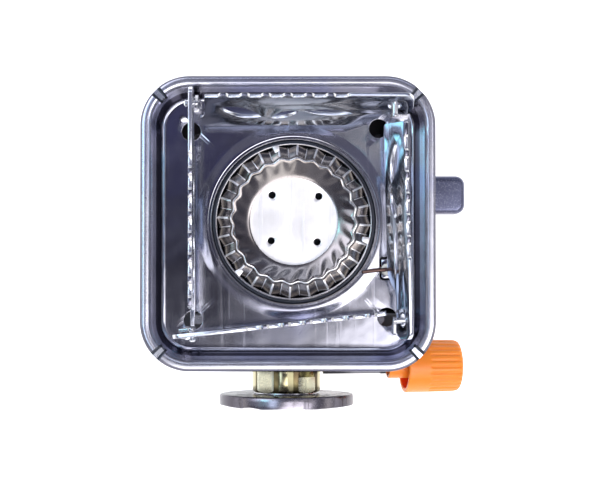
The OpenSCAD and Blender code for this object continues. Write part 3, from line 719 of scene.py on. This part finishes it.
# ------------------------------------------------------------------ burner
def make_cap():
    per = [0, 0.35, 0.8, 1.6, 3.0, 4.6, 6.0, 6.8, 7.2, 7.5, 7.8, 8.2, 9.0, 10.4, 12.0, 13.4, 14.2, 14.65]
    th = [radians(12 + 15 * k + p) for k in range(24) for p in per]
    n = len(th)

    def tri(t):
        q = ((math.degrees(t) - 12) % 15) / 15
        return 1 - 4 * min(q, 1 - q)          # 1 on a ridge, -1 in a valley

    def rows():
        yield "flat", 0.9, 57.6
        for r in (3.2, 6.0, 9.0, 11.5, 12.8):
            yield "flat", r, 57.6
        for r, z in ((13.3, 57.61), (13.8, 57.66), (14.2, 57.76), (14.7, 57.95), (15.3, 58.22), (16.0, 58.55), (16.8, 58.94), (17.6, 59.33), (18.3, 59.68),
                     (18.8, 59.94), (19.15, 60.14)):
            yield "slope", r, z
        for r, z in ((19.4, 60.28), (19.62, 60.37), (19.85, 60.40), (20.08, 60.36), (20.26, 60.24), (20.40, 60.08)):
            yield "crest", r, z
        for k in range(1, 11):
            yield "skirt", k / 10, 0
        yield "edge", 1, 58.1
        yield "under", 1, 57.9
        yield "in", 21.8, 57.0
        yield "in", 12.0, 56.7
        yield "in", 0.9, 56.7

    verts, rows_ = [], list(rows())
    for kind, a, b in rows_:
        for t in th:
            c = tri(t)
            cs = cos(24 * (t - radians(12)))
            if kind == "flat":
                r, z = a, b
            elif kind == "slope":
                g = sstep((a - 14.6) / 4.6)
                r, z = a - 0.42 * g + 0.36 * g * cs, b + 0.12 * g * cs + 0.16 * sstep((a - 14.8) / 2.2) * (0.55 + 0.45 * sin(t + 2.6)) * cos(24 * (t - radians(12)) + 0.9 * (a - 15)) + 0.05 * g * sin(7 * t + 1)
            elif kind == "crest":
                r, z = a - 0.42 + 0.36 * cs + 0.07 * sin(5 * t), b + 0.12 * cs
            elif kind == "skirt":
                r0, z0 = 19.98 + 0.36 * cs + 0.07 * sin(5 * t), 60.08 + 0.12 * cs
                r1, z1 = 23.92 + 0.32 * c, 58.25 + 0.30 * c
                bow = 0.22 * sin(pi * a)
                e = a ** 0.9
                r, z = r0 + (r1 - r0) * e + bow * 0.6, z0 + (z1 - z0) * a + bow * 0.7
            elif kind in ("edge", "under"):
                r, z = 23.92 + 0.32 * c - (0.03 if kind == "edge" else 0.25), b + 0.30 * c
            else:
                r, z = a, b
            verts.append((BX + r * cos(t), BY + r * sin(t), z))
    faces = grid_faces(len(rows_), n)
    m = len(verts)
    verts += [(BX, BY, 57.6), (BX, BY, 56.7)]
    last = (len(rows_) - 1) * n
    faces += [(m, j, (j + 1) % n) for j in range(n)] + [(m + 1, last + (j + 1) % n, last + j) for j in range(n)]
    fm = []
    for f in faces:
        if m in f or m + 1 in f:
            fm.append(1 if m in f else 0)
        else:
            row, col = f[0] // n, min(f[0] % n, f[1] % n) if abs(f[0] % n - f[1] % n) == 1 else n - 1
            kind = rows_[row][0]
            fold = col % len(per) in (0, 1, 8, 9, len(per) - 2, len(per) - 1)
            # face materials of the cap: disc near white, crest and fold lines white, slope dark: painted highlight
            # and painted shade
            fm.append(1 if row < 7 else 2 if kind == "crest" and 19 <= row <= 20 or kind == "skirt" and fold or kind == "edge" or (kind == "skirt" and rows_[row][1] == 1) else 3 if kind == "slope" else 0)
    ob = build("fluted_burner_cap", verts, faces, [MAT["burner_steel"], MAT["disc_steel"], MAT["white_edge_highlight"], MAT["slope_steel"]], None, sharp=48, fmat=fm)
    cs = []
    for x, y in ((-7.2, 8.1), (7.6, 7.7), (-7.5, -6.4), (7.1, -6.8)):
        cs.append(cutter([(0, 56), (1.06, 56), (1.06, 57.48), (1.10, 57.56), (1.22, 57.63), (1.22, 58.5), (0, 58.5)], 28, up_axis(BX + x + 0.35, BY + y + 0.3)))
    cut(ob, cs)
    tidy(ob, 48, 1e-6)
    even_normals(ob)
    return settle(ob, "housing", "burner_cap")


def make_ring():
    prof = [(21.0, 55.72), (24.9, 55.72), (24.9, 58.55), (24.87, 58.72), (24.78, 58.84), (24.62, 58.90), (24.46, 58.86), (24.36, 58.76), (24.3, 58.6), (24.3, 57.2),
            (23.8, 56.4), (23.4, 56.25), (21.0, 56.2)]
    # the ring's inner wall and underside are painted dark: painted shade
    return lathe("burner_port_ring", prof, 192, up_axis(BX, BY), [MAT["ring_steel"], MAT["gap_shade"]], "housing", (), 40,
                 mat_of=lambda i: 1 if i >= 8 or i == 0 else 0)


def make_tabs():
    obs = []
    for i, a in enumerate((103.5, 223, 345.5)):
        a = radians(a)
        ca, sa = cos(a), sin(a)
        # trapezoid, wide side outwards, raised slightly at its tip
        pts = [(24.55, -1.15), (24.55, 1.15), (22.35, 0.70), (22.35, -0.70)]
        v = []
        for z0 in (59.30, 58.95):
            for k, (r, s) in enumerate(pts):
                z = z0 + (0.0 if r > 23 else 0.12)
                v.append((BX + r * ca - s * sa, BY + r * sa + s * ca, z))
        # the tabs take the near-white disc steel: painted highlight
        ob = build(f"lock_tab_{i + 1}", v, [(0, 1, 2, 3), (7, 6, 5, 4), (0, 4, 5, 1), (1, 5, 6, 2), (2, 6, 7, 3), (3, 7, 4, 0)], [MAT["disc_steel"]], None)
        bm = bmesh.new()
        bm.from_mesh(ob.data)
        bmesh.ops.bevel(bm, geom=list(bm.edges), offset=0.00009, segments=2, profile=0.5, affect="EDGES")
        bm.to_mesh(ob.data)
        bm.free()
        tidy(ob, 50)
        obs.append(settle(ob, "housing", ()))
    return obs


def make_cup():
    prof = [(23.3, 48.8), (23.3, 55.02), (26.45, 55.02), (26.56, 55.12), (26.58, 55.45), (26.52, 55.62), (26.40, 55.69), (26.26, 55.66), (26.14, 55.52), (26.0, 55.25), (25.8, 55.14),
            (25.3, 55.14), (25.1, 55.3), (25.0, 55.66), (24.9, 55.70), (22.6, 55.70), (22.5, 55.6), (22.5, 49.2), (21.6, 48.2), (6.05, 48.2), (6.05, 47.4), (21.9, 47.4)]
    # the groove in the flange and the cup's inner foot and floor are painted dark: painted shade
    return lathe("burner_cup_shell", prof, 160, up_axis(BX, BY), [MAT["ring_steel"], MAT["gap_shade"]], "housing", "burner_cup", 40,
                 mat_of=lambda i: 1 if 8 <= i <= 12 or i in (17, 18) else 0)


make_tray()
for _k, _s in SUPPORTS.items():
    make_support(_k, _s)
make_cap()
ring = make_ring()
tabs = make_tabs()
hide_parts("burner_ring")
make_cup()


# ------------------------------------------------------------------ gas side
def soften(ob, width=0.12, angle=32, seg=2, bake=True):
    m = ob.modifiers.new("soften", "BEVEL")
    m.width = width / 1000
    m.segments = seg
    m.limit_method = "ANGLE"
    m.angle_limit = radians(angle)
    m.use_clamp_overlap = True
    if bake:
        bake_mods(ob)


def make_knob():
    ribs, per = 26, 14
    n = ribs * per

    def groove(a):
        q = (a / (2 * pi) * ribs) % 1
        return 1 - sstep((min(q, 1 - q) - 0.04) / 0.30)

    def place(r, a, h):
        if r > 6.5 and h > 6.9:
            d = 0.32 * sstep((h - 6.95) / 1.0) * (1 - 0.75 * sstep((h - 17.2) / 1.2))
            r -= d * groove(a)
        return valve_axis(r, a, h)

    prof = [(0, 11.0), (1.2, 11.0), (1.2, -3.35), (1.35, -3.5), (2.95, -3.5), (3.1, -3.65), (3.12, -5.3), (3.25, -5.5), (3.82, -5.5), (3.96, -5.4), (4.0, -5.2),
            (4.0, 0.0), (4.05, 13.5), (4.2, 13.85), (4.5, 14.0), (6.7, 14.0), (7.05, 13.85), (7.15, 13.5), (7.28, 0.6), (7.34, 0.25), (7.50, 0.06), (7.75, 0.0),
            (8.25, 0.0), (8.50, 0.06), (8.64, 0.22), (8.70, 0.5), (8.70, 3.0), (8.69, 6.2), (8.68, 6.9), (8.68, 7.1), (8.67, 7.3), (8.67, 7.5), (8.66, 7.75),
            (8.64, 9.0), (8.6, 11.0), (8.56, 13.0), (8.51, 15.0), (8.46, 16.4), (8.40, 16.9), (8.28, 17.35), (8.08, 17.75), (7.78, 18.05), (7.35, 18.26),
            (6.85, 18.36), (6.4, 18.4), (5.9, 18.38), (5.6, 18.25), (5.4, 18.15), (3.0, 18.1), (1.5, 18.1), (0.9, 18.2), (0, 18.25)]
    # the knob's inner walls take the deeper red copy: painted shade
    return lathe("ribbed_gas_knob", prof, n, place, [MAT["orange_plastic"], MAT["orange_inner_shade"]], "knob_set", "gas_knob", 55,
                 mat_of=lambda i: 1 if 12 <= i <= 18 else 0)


def make_spindle():
    prof = [(0, -26.0), (0.3, -26.0), (1.2, -24.0), (1.2, -7.0), (1.05, -6.8), (1.05, -6.5), (1.2, -6.3), (1.2, 9.9), (1.0, 10.8), (0, 10.9)]
    return lathe("turned_spindle", prof, 40, valve_axis, [MAT["brass"]], "knob_set", "valve_spindle", 40)


def make_nut():
    prof = [(2.4, -39.2), (4.0, -39.2), (4.15, -39.35), (4.15, -46.85), (4.3, -47.0), (10.55, -47.0), (10.8, -47.06), (11.02, -47.22), (11.2, -47.5), (11.2, -53.6),
            (11.05, -53.95), (10.75, -54.28), (10.4, -54.46), (10.1, -54.5), (5.75, -54.5), (5.6, -54.35), (5.6, -53.0), (2.4, -53.0)]
    ob = lathe("spanner_fitting", prof, 120, front_axis(AX, AZ), [MAT["yellow_zinc"]], None, sharp=35)
    cs = []
    for a, y1 in ((129, -46.0), (231, -46.0), (309, -46.0), (51, -49.3)):
        a = radians(a)
        ca, sa = cos(a), sin(a)

        def at(x, y, z, ca=ca, sa=sa):
            return (AX + x * ca - z * sa, y, AZ + x * sa + z * ca)
        cs.append(block("cutter", 10.66, 14, -56, y1, -8, 8, 0, [], at=at))
    cs.append(block("cutter", -4.75, -3.0, -56, -46, 45.9, 50, 0, []))
    cut(ob, cs)
    tidy(ob, 35, 1e-6)
    soften(ob, 0.16, 24, 2)
    tidy(ob, 40)
    # painted light on the plating, facet by facet: the flats are painted bright (painted highlight) and the bands
    # beside them dark (painted shade), with the unmilled step beside the right flat olive
    for m in ("zinc_shade_band", "zinc_olive", "zinc_flat_highlight"):
        ob.data.materials.append(MAT[m])
    org = P(AX, 0, AZ)
    for q in ob.data.polygons:
        d = (q.center - org) * 1000
        r = sqrt(d.x ** 2 + d.z ** 2)
        if r < 9.8 or not -54.3 < d.y + 0.0 < -46.4:
            continue
        t = (math.degrees(atan2(d.z, d.x)) + 360) % 360
        k = min((129, 231, 309, 51), key=lambda a: abs((t - a + 180) % 360 - 180))
        off = abs((t - k + 180) % 360 - 180)
        flat = abs(q.normal.x * cos(radians(k)) + q.normal.z * sin(radians(k))) > 0.995 and off < 18.5
        if k == 51 and d.y > -49.35:
            q.material_index = 2 if off < 24 else 1 if off < 27 else 0
        elif flat:
            q.material_index = 3
        elif off < 24 or k in (129, 51) and off < 27 and t < 90 or 110 > t > 103:
            q.material_index = 1
    return settle(ob, "housing", "inlet_nut")


def make_flange():
    def worn(a, h):
        """the lip is worn unevenly, with a shallow dent on its upper side"""
        d = math.degrees(a) % 360
        w = 0.34 * sstep((70 - d) / 70) if d < 90 else 0.0
        w += 0.46 * sstep((d - 128) / 34) if 90 <= d <= 200 else 0.0
        w += 0.42 if d > 200 else 0.0
        w += 0.50 * max(0.0, 1 - ((d - 121) / 8.5) ** 2) ** 0.8 if abs(d - 121) < 8.5 else 0.0
        w += 0.05 * max(0.0, noise.noise(Vector((d * 0.16, 3.1, h * 0.2)))) + 0.10 * max(0.0, noise.noise(Vector((d * 0.7, 1.1, 0.2))))
        return min(1.3, w)

    base = front_axis(AX, AZ)

    def place(r, a, h):
        if h < -57.6:
            f = (h + 57.6) / (-59.2 + 57.6)
            h += worn(a, h) * f
            r -= 0.05 * abs(noise.noise(Vector((a * 9, h, 1.7)))) * f
        elif h > -56.3 and r > 21:
            r -= 0.05 * max(0, noise.noise(Vector((a * 6, 2.0, 0.3))))
        return base(r, a, h)

    prof = [(5.6, -55.0), (12, -55.0), (18, -55.0), (21.3, -55.0), (21.65, -55.07), (21.88, -55.28), (22.0, -55.65), (22.0, -56.6), (22.0, -57.6), (22.0, -58.75), (21.94, -59.0),
            (21.8, -59.14), (21.6, -59.2), (21.1, -59.2), (20.88, -59.12), (20.74, -58.95), (20.7, -58.7), (20.7, -57.6), (20.7, -56.8), (20.6, -56.45), (20.35, -56.25), (20.0, -56.2), (12, -56.2), (5.6, -56.2)]
    # the lower lip of the flange is lined in white: painted highlight
    ob = lathe("cartridge_disc", prof, 220, place, [MAT["flange_steel"], MAT["white_edge_highlight"]], None, sharp=35, mat_of=lambda i: 1 if 9 <= i <= 12 else 0)
    cs = []
    for a in (35, 145):
        a = radians(a)
        ca, sa = cos(a), -sin(a)

        def at(x, y, z, ca=ca, sa=sa):
            return (AX + x * ca - z * sa, y, AZ + x * sa + z * ca)
        cs.append(block("cutter", 18, 25, -62, -57.4, -3.4, 3.4, 0.5, [], at=at))
    cut(ob, cs)
    tidy(ob, 35, 1e-6)
    return settle(ob, "housing", "collar_flange")


def make_washer():
    prof = [(5.6, -54.5), (10.45, -54.5), (10.57, -54.56), (10.6, -54.68), (10.6, -54.85), (10.54, -54.95), (10.4, -55.0), (5.6, -55.0)]
    return lathe("thin_washer", prof, 96, front_axis(AX, AZ), [MAT["spring_steel"]], "housing", "inlet_washer", 35)


# ------------------------------------------------------------------ igniter
def make_button():
    loop = [(40.0, 3.8)]
    loop += [(54.3 + 3 * sin(radians(a)), 6.8 - 3 * cos(radians(a))) for a in range(0, 91, 9)]
    loop += [(54.3 + 3 * cos(radians(a)), 13.1 + 3 * sin(radians(a))) for a in range(0, 91, 9)]
    loop += [(40.0, 16.1)]
    lv = [(37.4, -0.75), (37.46, -0.48), (37.62, -0.25), (37.88, -0.09), (38.25, 0), (44.9, 0), (45.5, -0.07), (46.05, -0.26), (46.45, -0.52), (46.70, -0.80), (46.86, -1.10), (46.95, -1.45), (47.0, -1.9)]
    ob = prism("push_button", loop, lv, [MAT["button_metal"]], None, sharp=30)
    return settle(ob, "button", "igniter_button")


def make_collar():
    def place(u, w, e):
        return (42.775 + e, u, w)

    ob = outline_solid("collar_frame", [[(2.2, 35.8), (17.7, 35.8), (17.7, 48.7), (2.2, 48.7)], [(3.4, 37.0), (16.5, 37.0), (16.5, 47.5), (3.4, 47.5)]], 3.55, place, 0.2,
                       MAT["red_plastic"], "housing", "igniter_collar")
    block("collar_tab", 44.5, 47.4, 2.2, 3.3, 37.6, 46.8, 0.22, [MAT["red_plastic"]], "housing", (), seg=3)
    return ob


def make_electrode():
    pts = [(31.5, -14.4, 44.2), (31.5, -14.4, 50), (31.5, -14.4, 55.9)]
    d = Vector((-8.1, -1.0, 0)).normalized()
    for k in range(1, 8):
        a = radians(90 * k / 7)
        pts.append((31.5 + d.x * 1.3 * (1 - cos(a)), -14.4 + d.y * 1.3 * (1 - cos(a)), 55.95 + 1.3 * sin(a)))
    end = Vector(pts[-1])
    for k, (t, dz) in enumerate(((0.2, 0.05), (0.4, 0.08), (0.6, 0.06), (0.8, 0.0), (0.92, -0.05), (0.965, -0.07), (0.99, -0.08), (1.0, -0.08))):
        q = end + d * 6.75 * t
        pts.append((q.x, q.y + 0.10 * sin(pi * t), q.z + dz))
    rad = [0.6] * (len(pts) - 8) + [0.6, 0.6, 0.6, 0.59, 0.57, 0.52, 0.38, 0.12]
    return tube("bent_electrode", pts, rad, 20, [MAT["electrode_wire"]], "housing", "electrode")


def make_insulator():
    prof = [(0.6, 44.2), (1.7, 44.2), (1.9, 44.4), (1.9, 55.6), (1.82, 55.9), (1.6, 56.1), (1.2, 56.2), (0.8, 56.15), (0.62, 56.0)]
    return lathe("glazed_insulator", prof, 40, up_axis(31.5, -14.4), [MAT["ceramic"]], "housing", "electrode_insulator", 40)


def make_bracket():
    ob = prism("slot_plate", rrect(32.2, -14.1, 4.9, 6.2, 0.65), [(52.7, -0.05), (52.75, 0), (54.85, 0), (54.96, -0.04), (55.0, -0.12)], [MAT["tray_steel"]], None, sharp=35)
    cut(ob, [cutter([(0, 50), (1.94, 50), (1.94, 54.9), (2.02, 55.2), (0, 55.2)], 40, up_axis(31.5, -14.4))])
    tidy(ob, 35, 1e-6)
    settle(ob, "housing", "electrode_bracket")
    arm = block("slot_plate_arm", 34.7, 40, -16.6, -11.6, 52.6, 53.4, 0.15, [MAT["tray_steel"]], "housing", ())
    return ob


# ------------------------------------------------------------------ hooks of the pot supports
def make_hook(name, s):
    px, py = s["p"]
    hd, ln = radians(s["h"]), s["lean"]
    ch, sh = cos(hd), sin(hd)
    body = f"support_{name}_set" if name in ("left", "front") else f"hook_{name}_set"
    post = [(0, 53.2), (2.05, 53.2), (2.22, 53.28), (2.3, 53.45), (2.3, 53.85), (2.22, 54.02), (2.05, 54.1), (1.4, 54.14), (1.38, 55.12), (1.9, 55.12), (2.05, 55.2), (2.1, 55.4), (2.1, 55.8),
            (2.02, 55.98), (1.85, 56.06), (1.4, 56.1), (1.38, 58), (1.4, 60), (1.4, 69.6), (1.3, 70.3), (1.05, 70.75), (0.6, 70.97), (0, 71.0)]
    lathe("pivot_post_" + name, post, 36, up_axis(px, py), [MAT["hook_steel"]], body, "hook_" + name, 35)
    ey = 1.05 + ln * 0.036
    h = s["hole"]

    def place(u, w, e):
        y = ey + 0.5 + e
        return (px + u * ch - y * sh, py + u * sh + y * ch, w)

    r = 1.2
    lo, hi = 68.8, 77.7
    cx0, cx1 = 0.0, h
    out = [(cx0 - r, lo + 0.5), (cx0 - r + 0.5, lo), (cx0 + r - 0.2, lo), (cx0 + r + 0.3, lo + 0.35)]
    out += [(cx1 + r, 74.6)] + [(cx1 + r * cos(radians(a)), 76.5 + r * sin(radians(a))) for a in range(0, 181, 15)]
    out += [(cx0 - r * 0.55, 75.6), (cx0 - r, 74.4)]
    outline_solid("pivot_ear_" + name, [out], 1.0, place, 0.16, MAT["hook_steel"], body, ())
    # bent wire end that passes through the hole of the plate
    k = -1.9 - ln * 0.06
    pts = [(h, ey + 0.45, 76.5), (h, 0.4, 76.5), (h, -0.6, 76.5), (h, k + 0.6, 76.5), (h, k + 0.1, 76.5), (h, k - 0.35, 76.5)]
    rad = [0.9, 0.9, 0.88, 0.9, 1.1, 0.7]
    w = [(px + u * ch - y * sh, py + u * sh + y * ch, z) for u, y, z in pts]
    tube("hook_stub_" + name, w, rad, 20, [MAT["spring_steel"]], body, ())


# ------------------------------------------------------------------ legs
def make_leg(i):
    a = radians(90 * i)
    ca, sa = cos(a), sin(a)

    def turn(x, y, z):
        x, y = x - 31, y + 31
        return (x * ca - y * sa, x * sa + y * ca, z)

    body = f"leg_{i + 1}_set"
    prof = [(1.95, 1.5), (2.1, 1.4), (3.1, 1.4), (3.25, 1.5), (3.3, 1.7), (3.3, 12.9), (3.25, 13.1), (3.1, 13.2), (2.1, 13.2), (1.95, 13.1)]
    lathe(f"leg_barrel_{i + 1}", prof, 40, lambda r, t, h: turn(r * cos(t), r * sin(t), h), [MAT["plate_steel"]], body, (), 35)
    L, H = 54.0, 13.2
    out = [(-0.9, 1.5), (6, 1.5), (7.5, 0.75), (9, 0.1), (9.6, 0), (L - 4, 0), (L - 2.6, 0.5), (L - 0.9, 1.9), (L - 0.2, 3.0), (L, 3.8), (L, H - 2.6), (L - 0.2, H - 1.6), (L - 0.8, H - 0.7), (L - 1.6, H - 0.15),
           (L - 2.3, H), (-0.9, H)]
    loops = [out, circle2((30, 6.6), 2.6), circle2((42, 6.6), 2.0), [(12 + 12 * t / 6 - 0, 7.6) for t in range(7)] + [(24 - 12 * t / 6, 5.6) for t in range(7)]]

    def place(u, w, e):
        return turn(-2.7 + e, -u, w)

    ob = outline_solid(f"folding_leg_{i + 1}", loops, 1.2, place, 0.15, MAT["plate_steel"], None)
    settle(ob, body, f"leg_{i + 1}")


def make_leg_pin(i):
    a = radians(90 * i)
    x, y = -31 * cos(a) - 31 * sin(a), -31 * sin(a) + 31 * cos(a)
    prof = [(0, 0.3), (1.6, 0.32), (2.3, 0.42), (2.7, 0.6), (2.88, 0.82), (2.9, 1.0), (2.8, 1.1), (1.9, 1.12), (1.9, 15.9), (1.7, 16.2), (0, 16.2)]
    lathe(f"domed_leg_pin_{i + 1}", prof, 36, up_axis(x, y), [MAT["hook_steel"]], "housing", f"leg_pin_{i + 1}", 35)


def make_screws():
    first = None
    for k, (x, y) in enumerate(((-26, -18), (-26, 22), (26, -18), (26, 22))):
        prof = [(0, 12.9), (1.2, 12.92), (1.8, 13.05), (2.15, 13.3), (2.3, 13.62), (2.3, 13.9), (2.2, 14.0), (1.3, 14.0), (1.3, 19.6), (1.1, 19.9), (0, 19.9)]
        ob = lathe(f"base_screw_{k + 1}", prof, 32, up_axis(x, y), [MAT["blackened"]], None, sharp=35)
        cs = []
        for a in (20, 110):
            a = radians(a + 31 * k)
            ca, sa = cos(a), sin(a)
            cs.append(block("cutter", -1.35, 1.35, -0.26, 0.26, 12, 13.45, 0, [], at=lambda px, py, pz, ca=ca, sa=sa: (x + px * ca - py * sa, y + px * sa + py * ca, pz)))
        cut(ob, cs)
        tidy(ob, 35, 1e-6)
        settle(ob, "housing", "base_screws" if k == 0 else ())


make_knob()
make_spindle()
make_nut()
make_flange()
make_washer()
make_button()
make_collar()
make_electrode()
make_insulator()
make_bracket()
for _k, _s in SUPPORTS.items():
    make_hook(_k, _s)
for _i in range(4):
    make_leg(_i)
    make_leg_pin(_i)
make_screws()
# the remaining sheet and cast pieces keep their shape and get broken edges
for _n in ("body_shell", "base_plate", "regulator_body", "regulator_cover", "leg_washers", "piezo_unit", "tray_rivets", "cover_screws", "mixing_tube", "gas_jet", "gland_nut"):
    soften(NODE[_n], 0.12 if _n != "regulator_body" else 0.5, 40, 2, bake=False)

# ------------------------------------------------------------------ stage
def stage_plane():
    me = bpy.data.meshes.new("floor")
    s = 3.0
    me.from_pydata([(-s, -s, 0), (s, -s, 0), (s, s, 0), (-s, s, 0)], [], [(0, 1, 2, 3)])
    ob = bpy.data.objects.new("floor", me)
    bpy.context.scene.collection.objects.link(ob)
    m, nt, b = _nodes("floor_paper")
    n = N(nt)
    g = n.noise(n.mapping(), 40, 4, 0.6)
    n.link(n.mix(g, (0.86, 0.86, 0.86), (0.90, 0.90, 0.90)), b.inputs["Base Color"])
    b.inputs["Roughness"].default_value = 0.9
    b.inputs["Specular IOR Level"].default_value = 0.1
    b.inputs["Emission Color"].default_value = (1, 1, 1, 1)
    b.inputs["Emission Strength"].default_value = 0.75
    me.materials.append(m)


stage_plane()


def smooth(n, v, a, b):
    r = n.nt.nodes.new("ShaderNodeMapRange")
    r.interpolation_type = "SMOOTHSTEP"
    for k, q in zip(("From Min", "From Max", "To Min", "To Max"), (min(a, b), max(a, b), 0.0 if a < b else 1.0, 1.0 if a < b else 0.0)):
        r.inputs[k].default_value = q
    n.link(v, r.inputs["Value"])
    return r.outputs["Result"]


def paint_studio():
    """the room round the object: white boxes, a window and dark gaps, by direction"""
    world = bpy.data.worlds.new("studio")
    bpy.context.scene.world = world
    world.use_nodes = True
    nt = world.node_tree
    n = N(nt)
    tc = nt.nodes.new("ShaderNodeTexCoord")
    sep = nt.nodes.new("ShaderNodeSeparateXYZ")
    n.link(tc.outputs["Generated"], sep.inputs[0])
    X, Y, Z = sep.outputs
    hor = n.math("SQRT", n.math("MAXIMUM", n.math("SUBTRACT", 1.0, n.math("MULTIPLY", Z, Z)), 1e-5))
    total = None

    def M(*fs):
        out = fs[0]
        for f in fs[1:]:
            out = n.math("MULTIPLY", out, f)
        return out

    def toward(az):
        a = radians(az)
        d = n.math("ADD", n.math("MULTIPLY", X, cos(a)), n.math("MULTIPLY", Y, sin(a)))
        return n.math("DIVIDE", d, hor)

    def band(lo, hi, soft=3.0):
        s0, s1 = sin(radians(lo - soft)), sin(radians(lo + soft))
        t0, t1 = sin(radians(min(89.9, hi - soft))), sin(radians(min(90, hi + soft)))
        return M(smooth(n, Z, s0, s1), smooth(n, Z, t1, t0))

    def sector(az, half, soft=8.0):
        return smooth(n, toward(az), cos(radians(half + soft)), cos(radians(max(0, half - soft))))

    def lin(a, b, t0, t1):
        """soft half plane near the zenith, from a*X + b*Y = t0 to t1"""
        return smooth(n, n.math("ADD", n.math("MULTIPLY", X, a), n.math("MULTIPLY", Y, b)), t0, t1)

    def add(color, strength, mask):
        nonlocal total
        v = nt.nodes.new("ShaderNodeVectorMath")
        v.operation = "SCALE"
        v.inputs[0].default_value = tuple(c * strength for c in color)
        n.link(mask, v.inputs["Scale"])
        if total is None:
            total = v.outputs[0]
        else:
            w = nt.nodes.new("ShaderNodeVectorMath")
            w.operation = "ADD"
            n.link(total, w.inputs[0])
            n.link(v.outputs[0], w.inputs[1])
            total = w.outputs[0]

    def blob(dx, dy, r0, r1):
        q = n.math("ADD", n.math("POWER", n.math("SUBTRACT", X, dx), 2.0), n.math("POWER", n.math("SUBTRACT", Y, dy), 2.0))
        return M(smooth(n, q, r1 * r1, r0 * r0), smooth(n, Z, 0.5, 0.8))

    one = smooth(n, Z, -3.0, -2.0)
    add((0.035, 0.035, 0.055), 1.0, one)                                                       # room
    # grey ceiling with a dark violet-blue patch over the left
    dark = n.math("SUBTRACT", 1.0, n.math("MULTIPLY", blob(-0.085, 0.02, 0.075, 0.155), 0.94))
    add((0.155, 0.155, 0.195), 1.0, M(smooth(n, Z, sin(radians(20)), sin(radians(36))), dark))
    add((0.03, 0.03, 0.10), 1.0, blob(-0.09, 0.10, 0.02, 0.07))
    # large box over the front right
    high = smooth(n, Z, sin(radians(46)), sin(radians(53)))
    add((1.0, 0.985, 0.97), 3.6, M(lin(0.70, -0.72, 0.038, 0.072), sector(-60, 58, 5), high))
    # its softer, duller edge towards the middle
    add((0.96, 0.96, 1.0), 0.68, M(smooth(n, Y, -0.012, -0.034), smooth(n, X, -0.065, -0.022), sector(-75, 62, 8), high))
    # narrow tube lamp at the back right
    add((1.0, 0.94, 0.84), 2.4, M(smooth(n, Y, 0.083, 0.088), smooth(n, Y, 0.097, 0.092), smooth(n, X, 0.020, 0.032), smooth(n, X, 0.064, 0.050), smooth(n, Z, 0.5, 0.8)))
    # blue-white window high on the left, a duller one below it
    add((0.68, 0.82, 1.0), 3.4, M(sector(178, 30, 10), band(61, 73, 2)))
    add((0.40, 0.95, 1.0), 6.5, M(sector(167, 6, 3), band(45, 58, 3)))
    add((0.85, 0.88, 1.0), 1.7, M(sector(152, 24, 8), band(27, 46)))
    add((0.90, 0.91, 1.0), 2.4, M(sector(138, 18, 8), band(32, 60)))
    add((0.95, 0.97, 1.0), 1.0, M(sector(112, 8, 5), band(15, 44)))
    # front wall
    add((1.0, 0.98, 1.0), 0.30, M(sector(-90, 45), band(22, 46)))
    add((1.0, 0.98, 1.0), 1.1, M(sector(-90, 50), band(-3, 14)))
    # low bright edge of the room, seen only by what stands outside the tray
    add((1.0, 0.98, 0.94), 0.35, M(sector(-25, 62), band(4, 19)))
    add((1.0, 0.98, 0.90), 1.0, M(sector(0, 40), band(6, 18, 1.5)))
    add((1.0, 0.98, 0.94), 0.20, M(sector(180, 40), band(5, 20)))
    add((1.0, 0.98, 0.90), 0.9, M(sector(180, 40), band(6, 18, 1.5)))
    add((1.0, 0.98, 0.92), 2.0, M(sector(-70, 16, 1.5), band(34, 50)))
    # strips at the right and the back
    add((1.0, 0.98, 1.0), 2.6, M(sector(0, 26), band(47, 56, 2)))
    add((0.85, 0.90, 1.0), 2.2, M(sector(86, 26), band(34, 41, 2)))
    add((0.42, 0.50, 0.72), 0.25, M(sector(90, 45), band(12, 46)))
    # small cyan lamp above the back right
    add((0.45, 0.95, 1.0), 0.5, blob(0.062, 0.106, 0.006, 0.020))
    n.link(total, nt.nodes["Background"].inputs["Color"])
    nt.nodes["Background"].inputs["Strength"].default_value = 1.0


paint_studio()

# ------------------------------------------------------------------ camera
CAM = P(3.8, -20.0, RIM + 500)
AIM = P(3.8, -5.9, RIM)
cam_d = bpy.data.cameras.new("camera")
cam_d.sensor_width = 36
cam_d.lens = 95.8
cam_d.clip_start = 0.01
cam_d.dof.use_dof = False
cam = bpy.data.objects.new("camera", cam_d)
cam.location = CAM
cam.rotation_euler = (AIM - CAM).to_track_quat("-Z", "Y").to_euler()
bpy.context.scene.collection.objects.link(cam)
bpy.context.scene.camera = cam
bpy.context.scene.view_settings.view_transform = "Standard"
